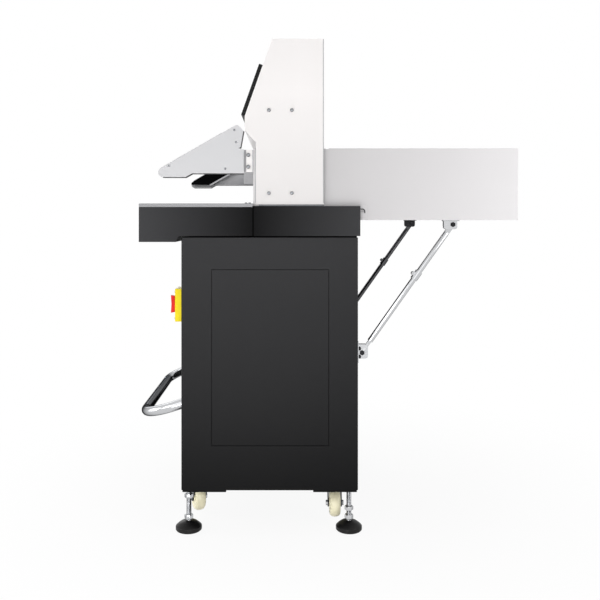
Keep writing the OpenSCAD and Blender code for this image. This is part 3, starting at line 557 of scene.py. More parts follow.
def toned(tree, colour, tone):
    """The colour, a plain one or a socket, multiplied by a tone value."""
    start = colour if isinstance(colour, bpy.types.NodeSocket) else (*colour, 1)
    return mixed(tree, 1.0, start, tone, "MULTIPLY")


def bumped(tree, bsdf, height, depth):
    """Gives the shader a relief of the height, which is depth micrometres deep."""
    bump = tree.nodes.new("ShaderNodeBump")
    preset(bump, Distance=depth * UM)
    tree.links.new(height, bump.inputs["Height"])
    tree.links.new(bump.outputs["Normal"], bsdf.inputs["Normal"])


def dressed(tree, bsdf, base, grain, depth):
    """Links the base colour, and the roughness and relief of a group's node."""
    tree.links.new(base, bsdf.inputs["Base Color"])
    tree.links.new(grain.outputs["Roughness"], bsdf.inputs["Roughness"])
    if depth:
        bumped(tree, bsdf, grain.outputs["Height"], depth)


def coated(colour, rough, grain, depth=20, tone=0.03, dust=None, metallic=0.0, specular=0.5,
           edge_tint=1.0, ramp=None):
    """Painted, moulded, cast or plated surface with a fine grain. dust is its reach and amount, and ramp is a
    gradient of painted light and shade over the surface.
    """
    material, tree, bsdf = blank_material()
    coat = place_group(tree, "coat", Grain=grain, Tone_Range=tone, Rough_Low=rough[0], Rough_High=rough[1])
    base = toned(tree, colour, coat.outputs["Tone"])
    if ramp:
        base = toned(tree, base, place_group(tree, "ramp", **ramp).outputs["Tone"])
    if dust:
        mask = place_group(tree, "dust", Reach=dust[0], Amount=dust[1]).outputs["Mask"]
        base = mixed(tree, mask, base, DUST)
    dressed(tree, bsdf, base, coat, depth)
    # An edge_tint below 1 darkens the reflection at grazing angles: painted dark reflection.
    preset(bsdf, Metallic=metallic, Specular_IOR_Level=specular, Specular_Tint=grey(edge_tint))
    return material


def powder(colour, rough, tone, **more):
    """Fine powder coat of the light sheet metal."""
    return coated(colour, rough, POWDER_GRAIN, POWDER_DEPTH, tone, **more)


def moulded(colour, rough, **more):
    """Smooth moulding of the switch and buttons."""
    return coated(colour, rough, MOULD_GRAIN, MOULD_DEPTH, **more)


def parted(layers, borders, grain=900.0, depth=20, edge_tint=1.0):
    """Several finishes on one piece, each (colour, low roughness, high roughness, metallic).
    The first covers the piece, and each later one lies over it where its border's mask is 1."""
    material, tree, bsdf = blank_material()
    coats = [place_group(tree, "coat", Grain=grain, Tone_Range=0.03, Rough_Low=low, Rough_High=high).outputs
             for _, low, high, _ in layers]
    tones = [toned(tree, layer[0], coat["Tone"]) for layer, coat in zip(layers, coats)]
    base, rough, metallic = tones[0], coats[0]["Roughness"], layers[0][3]
    for layer, coat, tone, border in zip(layers[1:], coats[1:], tones[1:], borders):
        mask = place_group(tree, "border", **border).outputs["Mask"]
        base = mixed(tree, mask, base, tone)
        rough = spread(tree, mask, rough, coat["Roughness"])
        if layer[3] != metallic:
            metallic = spread(tree, mask, metallic, layer[3])
    for label, value in (("Base Color", base), ("Roughness", rough), ("Metallic", metallic)):
        feed(tree, bsdf.inputs[label], value)
    bumped(tree, bsdf, coats[0]["Height"], depth)
    # An edge_tint below 1 darkens the reflection at grazing angles: painted dark reflection.
    preset(bsdf, Specular_Tint=grey(edge_tint))
    return material


def ground(colour, along, rough, depth=10, tone=0.06):
    """Ground or brushed metal whose streaks run along the axis named by along."""
    material, tree, bsdf = blank_material()
    streaks = place_group(tree, "grind", Tone_Range=tone, Rough_Low=rough[0], Rough_High=rough[1])
    for axis in "XYZ":
        streaks.inputs["Along " + axis].default_value = STREAK_ALONG if axis == along else STREAK_ACROSS
    dressed(tree, bsdf, toned(tree, colour, streaks.outputs["Tone"]), streaks, depth)
    preset(bsdf, Metallic=1.0)
    return material


def screen_face(colour):
    """Dark screen glass: a smooth face under a clear coat."""
    material, tree, bsdf = blank_material()
    coat = place_group(tree, "coat", Grain=200.0, Tone_Range=0.1, Rough_Low=0.05, Rough_High=0.1)
    dressed(tree, bsdf, toned(tree, colour, coat.outputs["Tone"]), coat, depth=0)
    preset(bsdf, Specular_IOR_Level=0.3, Coat_Weight=0.2, Coat_Roughness=0.04)
    return material


def make_finishes():
    """Every finish by its name: those of the record's slots, and those that single nodes or fittings have."""
    f = bpy.context.scene.cutter_finishes
    return {
        # The tower's paint gets lighter towards the top: painted light.
        "tower_paint": powder(
            f.tower_white, (0.38, 0.48), tone=0.012, specular=0.2,
            ramp={"Height": 1.0, "Start": TABLE[1].z, "Reach": 0.3, "Low": 0.87, "High": 1.07}),
        "arm_paint": powder(f.arm_grey, (0.36, 0.46), tone=0.015, specular=0.3),
        "fold_shade_paint": powder(f.fold_shade_grey, (0.4, 0.5), tone=0.02, specular=0.2),
        "gap_shade_paint": powder(f.gap_shade_grey, (0.45, 0.55), tone=0.02, specular=0.2),
        # The hood's paint gets lighter towards its rear end: painted light.
        "hood_paint": powder(
            f.hood_grey, (0.38, 0.5), tone=0.015, specular=0.3,
            ramp={"Depth": 1.0, "Start": HOOD[0].y, "Reach": HOOD[1].y - HOOD[0].y,
                  "Low": 0.87, "High": 1.18}),
        # The cabinet's paint gets darker towards the bottom: painted shade.
        "cabinet_paint": coated(
            f.cabinet_black, (0.44, 0.56), grain=1000.0, depth=30, tone=0.06, dust=(0.2, 0.01), specular=0.04,
            ramp={"Height": 1.0, "Start": CABINET[0].z, "Reach": CABINET[1].z - CABINET[0].z,
                  "Low": 0.35, "High": 1.9}),
        # The bed's paint is darkest at the rear of the front table, beside the tower, and lighter away from
        # it: painted shade and light.
        "bed_paint": coated(
            f.bed_black, (0.4, 0.5), grain=900.0, depth=20, tone=0.05, specular=0.03,
            ramp={"Depth": 1.0, "Start": TABLE[1].y, "Reach": 0.3, "Low": 0.5, "High": 3.7}),
        "cast_iron": coated(
            f.casting_grey, (0.4, 0.55), grain=350.0, depth=60, tone=0.08, metallic=0.6),
        "hydraulic_paint": coated(f.unit_blue, (0.3, 0.42), grain=700.0),
        "motor_paint": coated(f.moulded_black, (0.4, 0.5), grain=700.0, specular=0.3),
        "screen_plastic": coated(
            f.moulded_black, (0.36, 0.48), grain=1400.0, depth=20, tone=0.05, specular=0.2),
        "strip_plastic": coated(
            f.moulded_black, (0.5, 0.6), grain=1400.0, depth=20, tone=0.05, specular=0.0),
        "stick_plastic": coated(f.stick_ivory, (0.45, 0.6), grain=500.0),
        "screen_glass": screen_face(f.screen_dark),
        "switch_yellow": moulded(f.switch_yellow, (0.28, 0.36), specular=0.1),
        "switch_red": moulded(f.switch_red, (0.24, 0.32), specular=0.1),
        "button_green": moulded(f.button_green, (0.22, 0.3)),
        "pad_rubber": coated(
            f.pad_black, (0.34, 0.5), grain=500.0, depth=60, tone=0.1, dust=(0.03, 0.04), specular=0.2),
        "seam_shadow_paint": coated(
            f.seam_shadow_black, (0.6, 0.75), grain=600.0, depth=30, tone=0.1, specular=0.02),
        "wheel_nylon": coated(
            f.wheel_cream, (0.3, 0.42), grain=350.0, depth=30, tone=0.03, dust=(0.03, 0.12)),
        "table_steel": ground(f.table_steel, "X", (0.36, 0.5), depth=3),
        "steel": ground(f.machined_steel, "X", (0.3, 0.46)),
        "knife_steel": ground(f.knife_steel, "Z", (0.16, 0.28), depth=6),
        # The chrome's edge tint of 0 darkens its edges: painted dark reflection.
        "chrome": coated(
            f.chrome, (0.1, 0.18), grain=300.0, depth=3, tone=0.02, metallic=1.0, edge_tint=0.0),
        "fork_steel": coated(
            f.fork_zinc, (0.3, 0.42), grain=500.0, depth=20, tone=0.06, metallic=0.85),
        "black_plating_and_shade": coated(
            f.black_plating_and_shade, (0.24, 0.34), grain=400.0, depth=10, tone=0.05, metallic=1.0, edge_tint=0.0),
        "bolt_steel": coated(
            f.bolt_steel, (0.18, 0.28), grain=400.0, depth=10, tone=0.04, metallic=1.0, edge_tint=0.1),
        "column_paint": parted(
            [(f.casting_grey, 0.4, 0.55, 0.6), (f.column_white, 0.4, 0.5, 0.0)],
            [{"Depth": 1.0, "Limit": CARRIER[0].y - 0.4 * MM}], grain=350.0, depth=30),
        # The brackets' inner parts, inside the machine's sides, take the arm grey: painted shade.
        "bracket_white_shaded_inside": parted(
            [(f.tower_white, 0.38, 0.48, 0.0), (f.arm_grey, 0.4, 0.5, 0.0)],
            [{"Outward": 1.0, "Limit": SIDE_X - 1.5 * MM}]),
        # The left brace takes the darker chrome and the right one the bright chrome: painted shade on the
        # left.
        "brace_chrome_and_shade": parted(
            [(f.chrome, 0.1, 0.18, 1.0), (f.shaded_chrome, 0.12, 0.2, 1.0)],
            [{"Across": 1.0, "Limit": 0.0}], grain=300.0, depth=3, edge_tint=0.0),
        # The left fork takes the black plating in place of chrome: painted shade. The hood grey on the tie
        # plates is their paint.
        "fork_chrome_and_shade": parted(
            [(f.chrome, 0.2, 0.3, 1.0), (f.black_plating_and_shade, 0.2, 0.3, 1.0), (f.hood_grey, 0.4, 0.5, 0.0)],
            [{"Across": 1.0, "Limit": 0.0}, {"Height": -1.0, "Limit": -HOOD[0].z - 0.5 * MM}],
            grain=300.0, depth=6, edge_tint=0.1),
    }


FINISHES = {}


def finish(name):
    """The named finish; all of them are made on first use."""
    if not FINISHES:
        FINISHES.update(make_finishes())
        for label, material in FINISHES.items():
            material.name = label
    return FINISHES[name]


# The brackets', braces' and forks' own finishes paint shade onto their inner faces and left-hand copies.
NODE_FINISHES = {
    "side_columns": "column_paint", "guard_brackets": "bracket_white_shaded_inside", "light_strips": "strip_plastic",
    "hood_braces": "brace_chrome_and_shade", "brace_brackets": "fork_chrome_and_shade",
}


def finish_of_node(node):
    """The node's own finish where it has one, and otherwise that of its slot."""
    return finish(NODE_FINISHES.get(node, slot_of_node(node)))


# Fasteners

DOME = np.linspace(0, math.pi / 2, 7)


def button_head(diameter, height):
    """Screw with a domed head and a six-sided socket: the dome is a quarter ellipse, the socket a pit."""
    r = diameter / 2
    socket, lip, step = 0.5, 0.12, 0.25
    taper, pit_floor, pit_width = 0.92, 0.35, 0.9
    segments = 36
    dome_r = r * (socket + lip + (1 - lip - socket) * np.cos(DOME))
    dome_z = height * (step + (1 - step) * np.sin(DOME))
    outer = np.concatenate([[[r, 0.0]], np.stack([dome_r, dome_z], axis=-1)])
    floor_z = height * pit_floor
    pit = np.array([[r * socket, height], [r * socket * taper, floor_z], [0.0, floor_z]])
    points, faces = revolve(np.concatenate([outer, pit]), segments)
    ring = len(outer) * segments
    angle = np.arctan2(points[ring:, 1], points[ring:, 0])
    points[ring:, :2] *= (six_sides(angle) * pit_width)[:, None]
    return points, faces


def hex_head(flats, height):
    """Bolt head or nut top: a six-sided prism whose upper corners are turned off by a cone."""
    r = flats / 2
    shoulder, top_r, cone_r = 0.82, 0.94, 0.96
    profile = [(r, 0.0), (r, height * shoulder), (r * top_r, height), (0.0, height)]
    points, faces = revolve(profile, 48, six_sides)
    top = points[:, 2] > height * (1 + shoulder) / 2
    reach = np.hypot(points[:, 0], points[:, 1])
    outside = top & (reach > r * cone_r)
    points[outside, :2] *= (r * cone_r / reach[outside])[:, None]
    return points, faces


def rivet(diameter, height):
    """Domed rivet head: a quarter ellipse carried round its axis."""
    return revolve(np.stack([diameter / 2 * np.cos(DOME), height * np.sin(DOME)], axis=-1), 28)


def threaded_rod(diameter, length, pitch, segments=28):
    """Rod with a screw thread: the radius is a triangle wave of height / pitch minus angle / turn."""
    rows_per_turn, flank = 6, 0.6
    rows = int(length / pitch * rows_per_turn)
    z = np.linspace(0, length, rows)[:, None]
    t = ring_angles(segments)
    wave = np.abs(((z / pitch - t / TURN) % 1.0) * 2 - 1)
    depth = flank * pitch * np.clip(np.minimum(z, length - z) / pitch, 0, 1)
    r = diameter / 2 - depth * (1 - wave)
    rings = np.stack([r * np.cos(t), r * np.sin(t), np.broadcast_to(z, r.shape)], axis=-1)
    return capped(rings, [(0, 0, 0), (0, 0, length)])


# Operators

# How far a strip of painted shade stands out of its sheet
PROUD = 0.15 * MM

# Rounding of each node's edges in millimetres; 0 leaves them sharp and only smooths the round faces
EDGE_WIDTHS = {
    "cabinet_shell": 1.0, "service_panels": 0.8, "rear_panel": 0.4, "base_plates": 0.8,
    "bed_frame": 2.0, "front_apron": 0.9, "front_table": 1.0, "bed_plate": 0.8, "cutting_stick": 0.4,
    "side_columns": 0.6, "crosshead": 2.0,
    "tower_side_right": 0.9, "tower_side_left": 0.9, "tower_front": 0.9, "tower_rear": 0.6,
    "screen_housing": 2.0, "screen_glass": 0.2,
    "guard_arm_right": 0.7, "guard_arm_left": 0.7, "light_strips": 1.5, "guard_brackets": 0.8,
    "rear_table": 0.8, "hood_shell": 0.8, "hood_lid": 0.8, "hood_braces": 0.6, "brace_brackets": 0.7,
    "oil_tank": 1.5, "pump_motor": 1.0, "valve_block": 1.0, "clamp_cylinder": 1.0, "knife_cylinder": 1.0,
    "gauge_bearings": 0.8, "gauge_motor": 0.8, "pedal_brackets": 0.8,
    "switch_box": 2.5, "button_bezels": 0.8, "foot_pads": 0.8, "caster_plates": 0.5,
    "clamp_beam": 1.0, "knife_carrier": 1.0, "switch_knob": 1.8,
    "cut_button_right": 1.2, "cut_button_left": 1.2,
    "caster_fork_1": 0.5, "caster_fork_2": 0.5, "caster_fork_3": 0.5, "caster_fork_4": 0.5,
    "pedal": 0, "gauge_screw": 0,
    "caster_wheel_1": 0, "caster_wheel_2": 0, "caster_wheel_3": 0, "caster_wheel_4": 0,
}


class CUTTER_OT_ease_edges(bpy.types.Operator):
    """Rounds the edges of the sheet metal, castings and mouldings and gives them their finish"""

    bl_idname = "cutter.ease_edges"
    bl_label = "Ease edges"

    def execute(self, context):
        for node, width in EDGE_WIDTHS.items():
            eased(node, finish_of_node(node), width * MM)
        return {"FINISHED"}


class CUTTER_OT_finish_nodes(bpy.types.Operator):
    """Gives the nodes that keep their own mesh their finish"""

    bl_idname = "cutter.finish_nodes"
    bl_label = "Finish nodes"

    def execute(self, context):
        for node, shown in frame["nodes"].items():
            if node in EDGE_WIDTHS:
                continue
            shown.data.materials.clear()
            shown.data.materials.append(finish_of_node(node))
        return {"FINISHED"}


class Fitting:
    """A step that adds pieces, by the sizes of the fittings."""

    def execute(self, context):
        self.build(context.scene.cutter_fittings)
        return {"FINISHED"}


class CUTTER_OT_tower_screws(Fitting, bpy.types.Operator):
    """Button-head screws of the tower's side covers, and grey strips of painted shade on their folded edges
    """

    bl_idname = "cutter.tower_screws"
    bl_label = "Tower screws"

    def build(self, sizes):
        head = button_head(sizes.cover_screw, height=3.5 * MM)
        rear, top = TOWER[1].y, TOWER[1].z
        from_rear, from_top = (86.5, 148.5), (193, 417)
        places = [(SIDE_X, rear - y * MM, top - z * MM) for y in from_rear for z in from_top]
        piece("tower_screws", twins(head, places), "bolt_steel")
        # The grey strips on the covers' folded edges stand in for the shade on the folds: painted shade.
        above_table, below_top, below_arm = 2 * MM, 1 * MM, 62 * MM
        width, depth, rear_inset, front_inset = 2.2 * MM, 4.1 * MM, 2.5 * MM, 4.8 * MM
        low = TABLE[1].z + above_table
        folds = (upright(rear - rear_inset, low, top - below_top),
                 upright(TABLE[1].y + front_inset, low, ARM[1].z - below_arm))
        strips = [ribbon(fold, SIDE_X - depth, SIDE_X + PROUD, width) for fold in folds]
        piece("tower_fold_shades", both_sides(gather(strips)), "fold_shade_paint")


class CUTTER_OT_arm_trim(Fitting, bpy.types.Operator):
    """Rivets of the light-guard arms and black strips of painted shade under their edges, bolts of their
    brackets with grey strips of painted shade beside them, rails of their strips
    """

    bl_idname = "cutter.arm_trim"
    bl_label = "Arm trim"

    def build(self, sizes):
        self.rivets(sizes)
        self.brackets(sizes)
        self.shade_trim(sizes)
        self.rails()

    def rivets(self, sizes):
        from_nose_and_low = [(29, 31), (206, 127.5), (211, 94.5), (181.5, 23)]
        places = [(SIDE_X, ARM[0].y + y * MM, ARM[0].z + z * MM) for y, z in from_nose_and_low]
        heads = twins(rivet(sizes.arm_rivet, height=2 * MM), places)
        piece("arm_rivets", heads, "bolt_steel")

    def brackets(self, sizes):
        low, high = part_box("guard_brackets")
        bolt_y = high.y - 13 * MM
        bolt_heights = (14, 46)
        places = [(SIDE_X, bolt_y, low.z + z * MM) for z in bolt_heights]
        heads = twins(button_head(sizes.bracket_bolt, height=5 * MM), places)
        piece("bracket_bolts", heads, "bolt_steel")
        # A grey strip beside each arm's rear edge stands in for the shade in the gap between the arm and its
        # bracket: painted shade.
        gap, width, depth = 0.2 * MM, 6 * MM, 2 * MM
        inset = 0.5 * MM
        seam = upright(ARM[1].y + gap, low.z + inset, high.z - inset)
        strip = ribbon(seam, SIDE_X - depth, SIDE_X + PROUD, width)
        piece("bracket_painted_shade", both_sides(strip), "gap_shade_paint")

    def shade_trim(self, sizes):
        # Black strips along the arms' lower and rear edges stand in for the shade under their folded returns:
        # painted shade.
        back, low, high = ARM[1].y, ARM[0].z, ARM[1].z
        step, step_start, step_end, nose = 10 * MM, 140 * MM, 158 * MM, 13 * MM
        lower = [(back, low + step), (back - step_start, low + step), (back - step_end, low),
                 (ARM[0].y + nose, low)]
        from_back_and_high = [(1, 16), (9, 60), (14, 62.5)]
        notch = [(back - y * MM, high - z * MM) for y, z in from_back_and_high]
        strips = [ribbon(path, ARM[0].x, ARM[1].x, -sizes.shade_trim) for path in (lower, notch)]
        piece("arm_shade_trim", both_sides(gather(strips)), "screen_plastic")

    def rails(self):
        slope = math.radians(29.9)
        drop, width, thickness = 34.7 * MM, 8 * MM, 5 * MM
        corner = np.array([STRIP[1].y, STRIP[1].z - drop])
        length = (corner[1] - STRIP[0].z) / math.sin(slope)
        foot = corner - np.array([math.cos(slope), math.sin(slope)]) * length
        rail = ribbon([foot, corner], ARM[0].x, ARM[0].x + width, thickness)
        piece("strip_rails", both_sides(rail), "arm_paint")


class CUTTER_OT_table_screws(Fitting, bpy.types.Operator):
    """Screws at the rear corners of the front table, cable clips behind the bed and black strips of painted
    shadow in the bed's seams
    """

    bl_idname = "cutter.table_screws"
    bl_label = "Table screws"

    def build(self, sizes):
        self.screws(sizes.table_screw)
        self.clips()
        self.seams()

    def screws(self, size):
        screw_x = 350 * MM
        from_rear = (10.5, 20)
        places = [(screw_x, TABLE[1].y - y * MM, TABLE[1].z) for y in from_rear]
        heads = twins(button_head(size, height=3 * MM), places, (0, 0, 1))
        piece("table_screws", heads, "bolt_steel")

    def clips(self):
        bed_rear, bed_top = BED[1].y, BED[1].z
        clip_x = HOOD[1].x + 2.5 * MM
        bend = [(-1, -8), (6, -8), (10, -8.6), (12.5, -10.5), (13.4, -14), (13.5, -19)]
        path = [(clip_x, bed_rear + y * MM, bed_top + z * MM) for y, z in bend]
        clips = both_sides(tube(path, radius=1.5 * MM))
        piece("bed_clips", clips, "black_plating_and_shade")

    def seams(self):
        # Black strips in the joint between apron and bed and in the gap above the cabinet stand in for the
        # shadow there: painted shadow.
        width, depth, proud, foot, end = 3.6 * MM, 2 * MM, 0.2 * MM, 4 * MM, 3 * MM
        sill_inner, sill_outer = SIDE_X - 4 * MM, SIDE_X - 2.6 * MM
        rear, side = TABLE[1].y, TABLE[1].x
        seam_y, sill_z = rear - width / 2, CABINET[1].z + proud
        joint = [(seam_y, BED[1].z), (seam_y, BED[0].z + foot)]
        sill = [(rear, sill_z), (CABINET[1].y - end, sill_z)]
        strips = [ribbon(joint, side - depth, side + proud, -width),
                  ribbon(sill, sill_inner, sill_outer, -width)]
        piece("bed_seam_shadows", both_sides(gather(strips)), "seam_shadow_paint")


class CUTTER_OT_brace_bolts(Fitting, bpy.types.Operator):
    """Pivot bolts of the hood's braces, and the bolts that hold their brackets"""

    bl_idname = "cutter.brace_bolts"
    bl_label = "Brace bolts"

    def build(self, sizes):
        head = hex_head(sizes.pivot_bolt, height=4.5 * MM)
        low_pin = (CABINET[1].y + 13 * MM, BRACE_FORKS[0].z + 26 * MM)
        high_pin = (BRACE_FORKS[1].y - 17 * MM, HOOD[0].z - 12 * MM)
        middle, ear = SIDE_X - 30 * MM, 7.5 * MM
        heads = [twins(head, [(middle + way * ear, *pin)], way=way)
                 for pin in (low_pin, high_pin) for way in (1, -1)]
        piece("brace_pivot_bolts", gather(heads), "black_plating_and_shade")
        base_y = CABINET[1].y + 3 * MM
        aside, above = (-12, 12), (-10.5, 11.5)
        places = [(middle + x * MM, base_y, low_pin[1] + z * MM) for x in aside for z in above]
        bolts = twins(hex_head(8 * MM, height=6 * MM), places, (0, 1, 0))
        piece("brace_base_bolts", bolts, "black_plating_and_shade")


class CUTTER_OT_knife_bolts(Fitting, bpy.types.Operator):
    """Row of socket bolts that hold the knife to its carrier"""

    bl_idname = "cutter.knife_bolts"
    bl_label = "Knife bolts"

    def build(self, sizes):
        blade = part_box("knife_blade")
        middle = (blade[0].x + blade[1].x) / 2
        height = CARRIER[0].z + 39 * MM
        each_side = 3
        offsets = range(-each_side, each_side + 1)
        places = [(middle + k * sizes.knife_bolt_pitch, CARRIER[0].y, height) for k in offsets]
        head = button_head(sizes.knife_bolt, height=5 * MM)
        bolts = gather([put(head, place, (0, -1, 0)) for place in places])
        piece("knife_bolts", bolts, "black_plating_and_shade", body_of_node("knife_carrier"))


class CUTTER_OT_plate_screws(Fitting, bpy.types.Operator):
    """Screws of the vented rear panel and of the switch plate"""

    bl_idname = "cutter.plate_screws"
    bl_label = "Plate screws"

    def build(self, sizes):
        head = button_head(sizes.plate_screw, height=2.4 * MM)
        panel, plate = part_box("rear_panel"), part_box("switch_box")
        inset = 9 * MM
        heads = []
        for box, face, way in ((panel, panel[1].y, 1), (plate, plate[0].y, -1)):
            for x in (box[0].x + inset, box[1].x - inset):
                for z in (box[0].z + inset, box[1].z - inset):
                    heads.append(put(head, (x, face, z), (0, way, 0)))
        piece("plate_screws", gather(heads), "chrome")


class CUTTER_OT_caster_nuts(Fitting, bpy.types.Operator):
    """Axle nuts of the casters, and the bolts that hold their plates"""

    bl_idname = "cutter.caster_nuts"
    bl_label = "Caster nuts"

    def build(self, sizes):
        nut = hex_head(sizes.axle_nut, height=5 * MM)
        bolt = hex_head(9 * MM, height=4 * MM)
        plate_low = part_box("caster_plates")[1].z - 3 * MM
        half_axle, half_plate = 20 * MM, 24 * MM
        bolts = []
        for k in range(1, 5):
            wheel, swivel = JOINTS[f"wheel_{k}_spin"], JOINTS[f"swivel_{k}_turn"]
            axle = np.array(wheel["axis"])
            ends = [put(nut, wheel["pos_m"] + way * axle * half_axle, way * axle) for way in (1, -1)]
            piece(f"axle_nuts_{k}", gather(ends), "chrome", wheel["parent"])
            ahead = np.cross(axle, (0, 0, 1))
            centre = np.array([*swivel["pos_m"][:2], plate_low])
            for a in (1, -1):
                for b in (1, -1):
                    bolts.append(put(bolt, centre + (a * axle + b * ahead) * half_plate, (0, 0, -1)))
        piece("caster_plate_bolts", gather(bolts), "chrome")


class CUTTER_OT_drip_trays(Fitting, bpy.types.Operator):
    """Sheet trays between the base plates, on both sides of the oil tank"""

    bl_idname = "cutter.drip_trays"
    bl_label = "Drip trays"

    def build(self, sizes):
        tank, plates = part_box("oil_tank"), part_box("base_plates")
        inset, rim, lap, thickness = 18 * MM, 6 * MM, 8 * MM, 1.2 * MM
        run = [(tank[0].y + inset, CABINET[0].z), (tank[1].y - inset, CABINET[0].z)]
        spans = ((plates[0].x + rim, tank[0].x + lap), (tank[1].x - lap, plates[1].x - rim))
        trays = [ribbon(run, low, high, -thickness) for low, high in spans]
        piece("drip_trays", gather(trays), "cabinet_paint")


class CUTTER_OT_feet(Fitting, bpy.types.Operator):
    """Threaded studs and nuts of the levelling feet"""

    bl_idname = "cutter.feet"
    bl_label = "Feet"

    def build(self, sizes):
        pads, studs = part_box("foot_pads"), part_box("foot_studs")
        radius, low = sizes.foot_pad, pads[1].z
        front_lock, rear_lock, lower_nut = 90 * MM, 56 * MM, low + 5 * MM
        rod = threaded_rod(sizes.foot_stud, studs[1].z - low, sizes.thread_pitch)
        nut = hex_head(sizes.foot_nut, height=10 * MM)
        shapes = []
        for x in (pads[0].x + radius, pads[1].x - radius):
            for y, lock in ((pads[0].y + radius, front_lock), (pads[1].y - radius, rear_lock)):
                shapes.append(put(rod, (x, y, low)))
                shapes += [put(nut, (x, y, z)) for z in (lower_nut, lock)]
        made = piece("foot_studs_threaded", gather(shapes), "chrome", smooth=30)
        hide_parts("foot_studs")


# Stage

WHITE = (1, 1, 1, 1)
FLOOR_REACH = 30.0
FLOOR_WHITE = 0.92
FLOOR_FADE = {"From Min": 0.4, "From Max": 1.4, "To Min": 0.92, "To Max": 1.0}
SKY_LIGHT = 0.4

# Lamps: name, place, aim, side length in metres, watts
LAMPS = (
    ("right box", (1.3, 1.5, 1.15), (0.36, 0.5, 0.95), 1.0, 8),
    ("left box", (1.9, -1.9, 1.3), (0.37, -0.4, 0.9), 1.2, 9),
    ("front box", (3.2, 0.0, 1.3), (0.37, 0.0, 0.8), 1.3, 4),
    ("low fill", (2.3, -0.6, 0.3), (0.3, -0.2, 0.4), 0.9, 9),
    ("floor fill", (1.3, -0.3, 0.12), (0.3, -0.15, 0.06), 0.4, 2.4),
    ("operator side", (0.4, -2.6, 0.8), (0.0, -0.3, 1.05), 1.3, 16),
    ("top", (-0.2, 0.2, 3.4), (0.0, 0.0, 0.9), 2.0, 30),
    ("far fill", (-2.6, -1.6, 1.8), (0.0, 0.0, 0.9), 2.0, 30),
)


def ray_mask(tree, *kinds):
    """1 for rays of the named kinds, and 0 for others."""
    rays = tree.nodes.new("ShaderNodeLightPath").outputs
    seen = rays[kinds[0]]
    for kind in kinds[1:]:
        seen = math_node(tree, "MAXIMUM", seen, rays[kind])
    return seen


def show_mix(tree, output, factor, first, second):
    """Two shaders mixed by the factor and shown by the named output node."""
    mix = tree.nodes.new("ShaderNodeMixShader")
    for socket, value in zip(mix.inputs, (factor, first.outputs[0], second.outputs[0])):
        tree.links.new(value, socket)
    tree.links.new(mix.outputs[0], tree.nodes[output].inputs["Surface"])


def floor_material():
    """Pale floor that takes shadows near the machine and turns into the white background away from it."""
    material, tree, bsdf = blank_material()
    material.name = "pale floor"
    preset(bsdf, Base_Color=grey(FLOOR_WHITE), Roughness=0.9, Specular_IOR_Level=0.0)
    glow = tree.nodes.new("ShaderNodeEmission")
    preset(glow, Color=WHITE)
    away = tree.nodes.new("ShaderNodeVectorMath")
    away.operation = "LENGTH"
    tree.links.new(object_coords(tree), away.inputs[0])
    fade = tree.nodes.new("ShaderNodeMapRange")
    fade.interpolation_type = "SMOOTHSTEP"
    tree.links.new(away.outputs["Value"], fade.inputs["Value"])
    preset(fade, **FLOOR_FADE)
    seen = ray_mask(tree, "Is Camera Ray", "Is Glossy Ray")
    share = math_node(tree, "MULTIPLY", seen, fade.outputs[0])
    show_mix(tree, "Material Output", share, bsdf, glow)
    return material


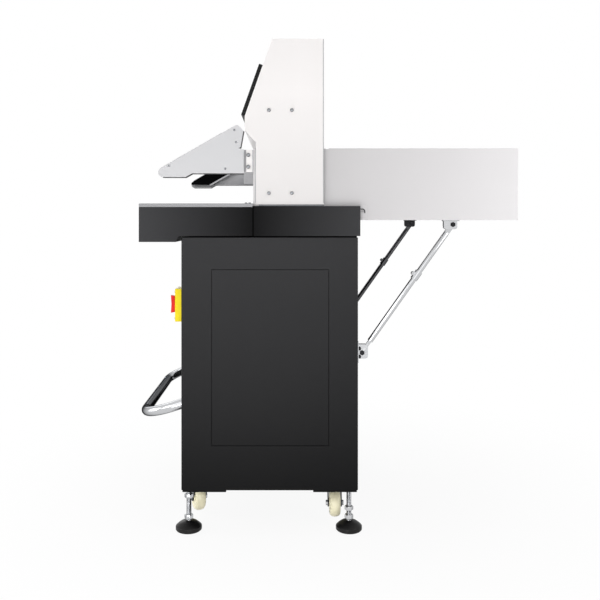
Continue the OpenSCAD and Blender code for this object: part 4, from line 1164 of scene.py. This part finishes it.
class CUTTER_OT_stage(bpy.types.Operator):
    """Floor, light and camera"""

    bl_idname = "cutter.stage"
    bl_label = "Stage"

    def execute(self, context):
        self.camera(context.scene)
        self.floor()
        self.world(context.scene)
        self.lamps()
        context.scene.view_settings.view_transform = "Standard"
        return {"FINISHED"}

    def camera(self, scene):
        stage = scene.cutter_stage
        lens = bpy.data.cameras.new("photo camera")
        lens.lens = stage.focal
        lens.shift_x = stage.shift_x
        lens.shift_y = stage.shift_y
        scene.camera = placed("photo camera", lens)
        scene.camera.location = (SIDE_X + stage.eye_distance, stage.eye_offset, stage.eye_height)
        scene.camera.rotation_euler = (math.pi / 2, 0, math.pi / 2)

    def floor(self):
        points = np.array([[-1, -1, 0], [1, -1, 0], [1, 1, 0], [-1, 1, 0]]) * FLOOR_REACH
        mesh = bpy.data.meshes.new("floor")
        mesh.from_pydata(points.tolist(), [], [[0, 1, 2, 3]])
        mesh.materials.append(floor_material())
        floor = placed("floor", mesh)

    def world(self, scene):
        """White where it is seen or mirrored, and softer as a light."""
        scene.world = bpy.data.worlds.new("studio")
        scene.world.use_nodes = True
        tree = scene.world.node_tree
        soft, white = tree.nodes["Background"], tree.nodes.new("ShaderNodeBackground")
        preset(soft, Color=WHITE, Strength=SKY_LIGHT)
        preset(white, Color=WHITE, Strength=1.0)
        seen = ray_mask(tree, "Is Camera Ray", "Is Transmission Ray", "Is Glossy Ray")
        show_mix(tree, "World Output", seen, soft, white)

    def lamps(self):
        for name, place, aim, size, watts in LAMPS:
            lamp = bpy.data.lights.new(name, "AREA")
            lamp.energy = watts
            lamp.size = size
            lit = placed(name, lamp)
            lit.location = place
            lit.rotation_euler = (Vector(aim) - Vector(place)).to_track_quat("-Z", "Y").to_euler()


# Add-on

OPERATORS = (
    CUTTER_OT_stage, CUTTER_OT_ease_edges, CUTTER_OT_finish_nodes, CUTTER_OT_tower_screws,
    CUTTER_OT_arm_trim, CUTTER_OT_table_screws, CUTTER_OT_brace_bolts, CUTTER_OT_knife_bolts,
    CUTTER_OT_plate_screws, CUTTER_OT_caster_nuts, CUTTER_OT_drip_trays, CUTTER_OT_feet,
)


class CUTTER_PT_panel(bpy.types.Panel):
    """Lists the steps that dress the paper cutter"""

    bl_label = "Paper Cutter"
    bl_idname = "CUTTER_PT_panel"
    bl_space_type = "VIEW_3D"
    bl_region_type = "UI"
    bl_category = "Paper Cutter"

    def draw(self, context):
        for step in OPERATORS:
            self.layout.operator(step.bl_idname)


SETTINGS = {
    "cutter_finishes": CutterFinishes, "cutter_fittings": CutterFittings, "cutter_stage": CutterStage,
}


def register():
    for label, group in SETTINGS.items():
        bpy.utils.register_class(group)
        setattr(bpy.types.Scene, label, bpy.props.PointerProperty(type=group))
    for step in (*OPERATORS, CUTTER_PT_panel):
        bpy.utils.register_class(step)


def unregister():
    for step in reversed((*OPERATORS, CUTTER_PT_panel)):
        bpy.utils.unregister_class(step)
    for label, group in reversed(SETTINGS.items()):
        delattr(bpy.types.Scene, label)
        bpy.utils.unregister_class(group)


def main():
    register()
    for step in OPERATORS:
        family, action = step.bl_idname.split(".")
        getattr(getattr(bpy.ops, family), action)()


if __name__ == "__main__":
    main()
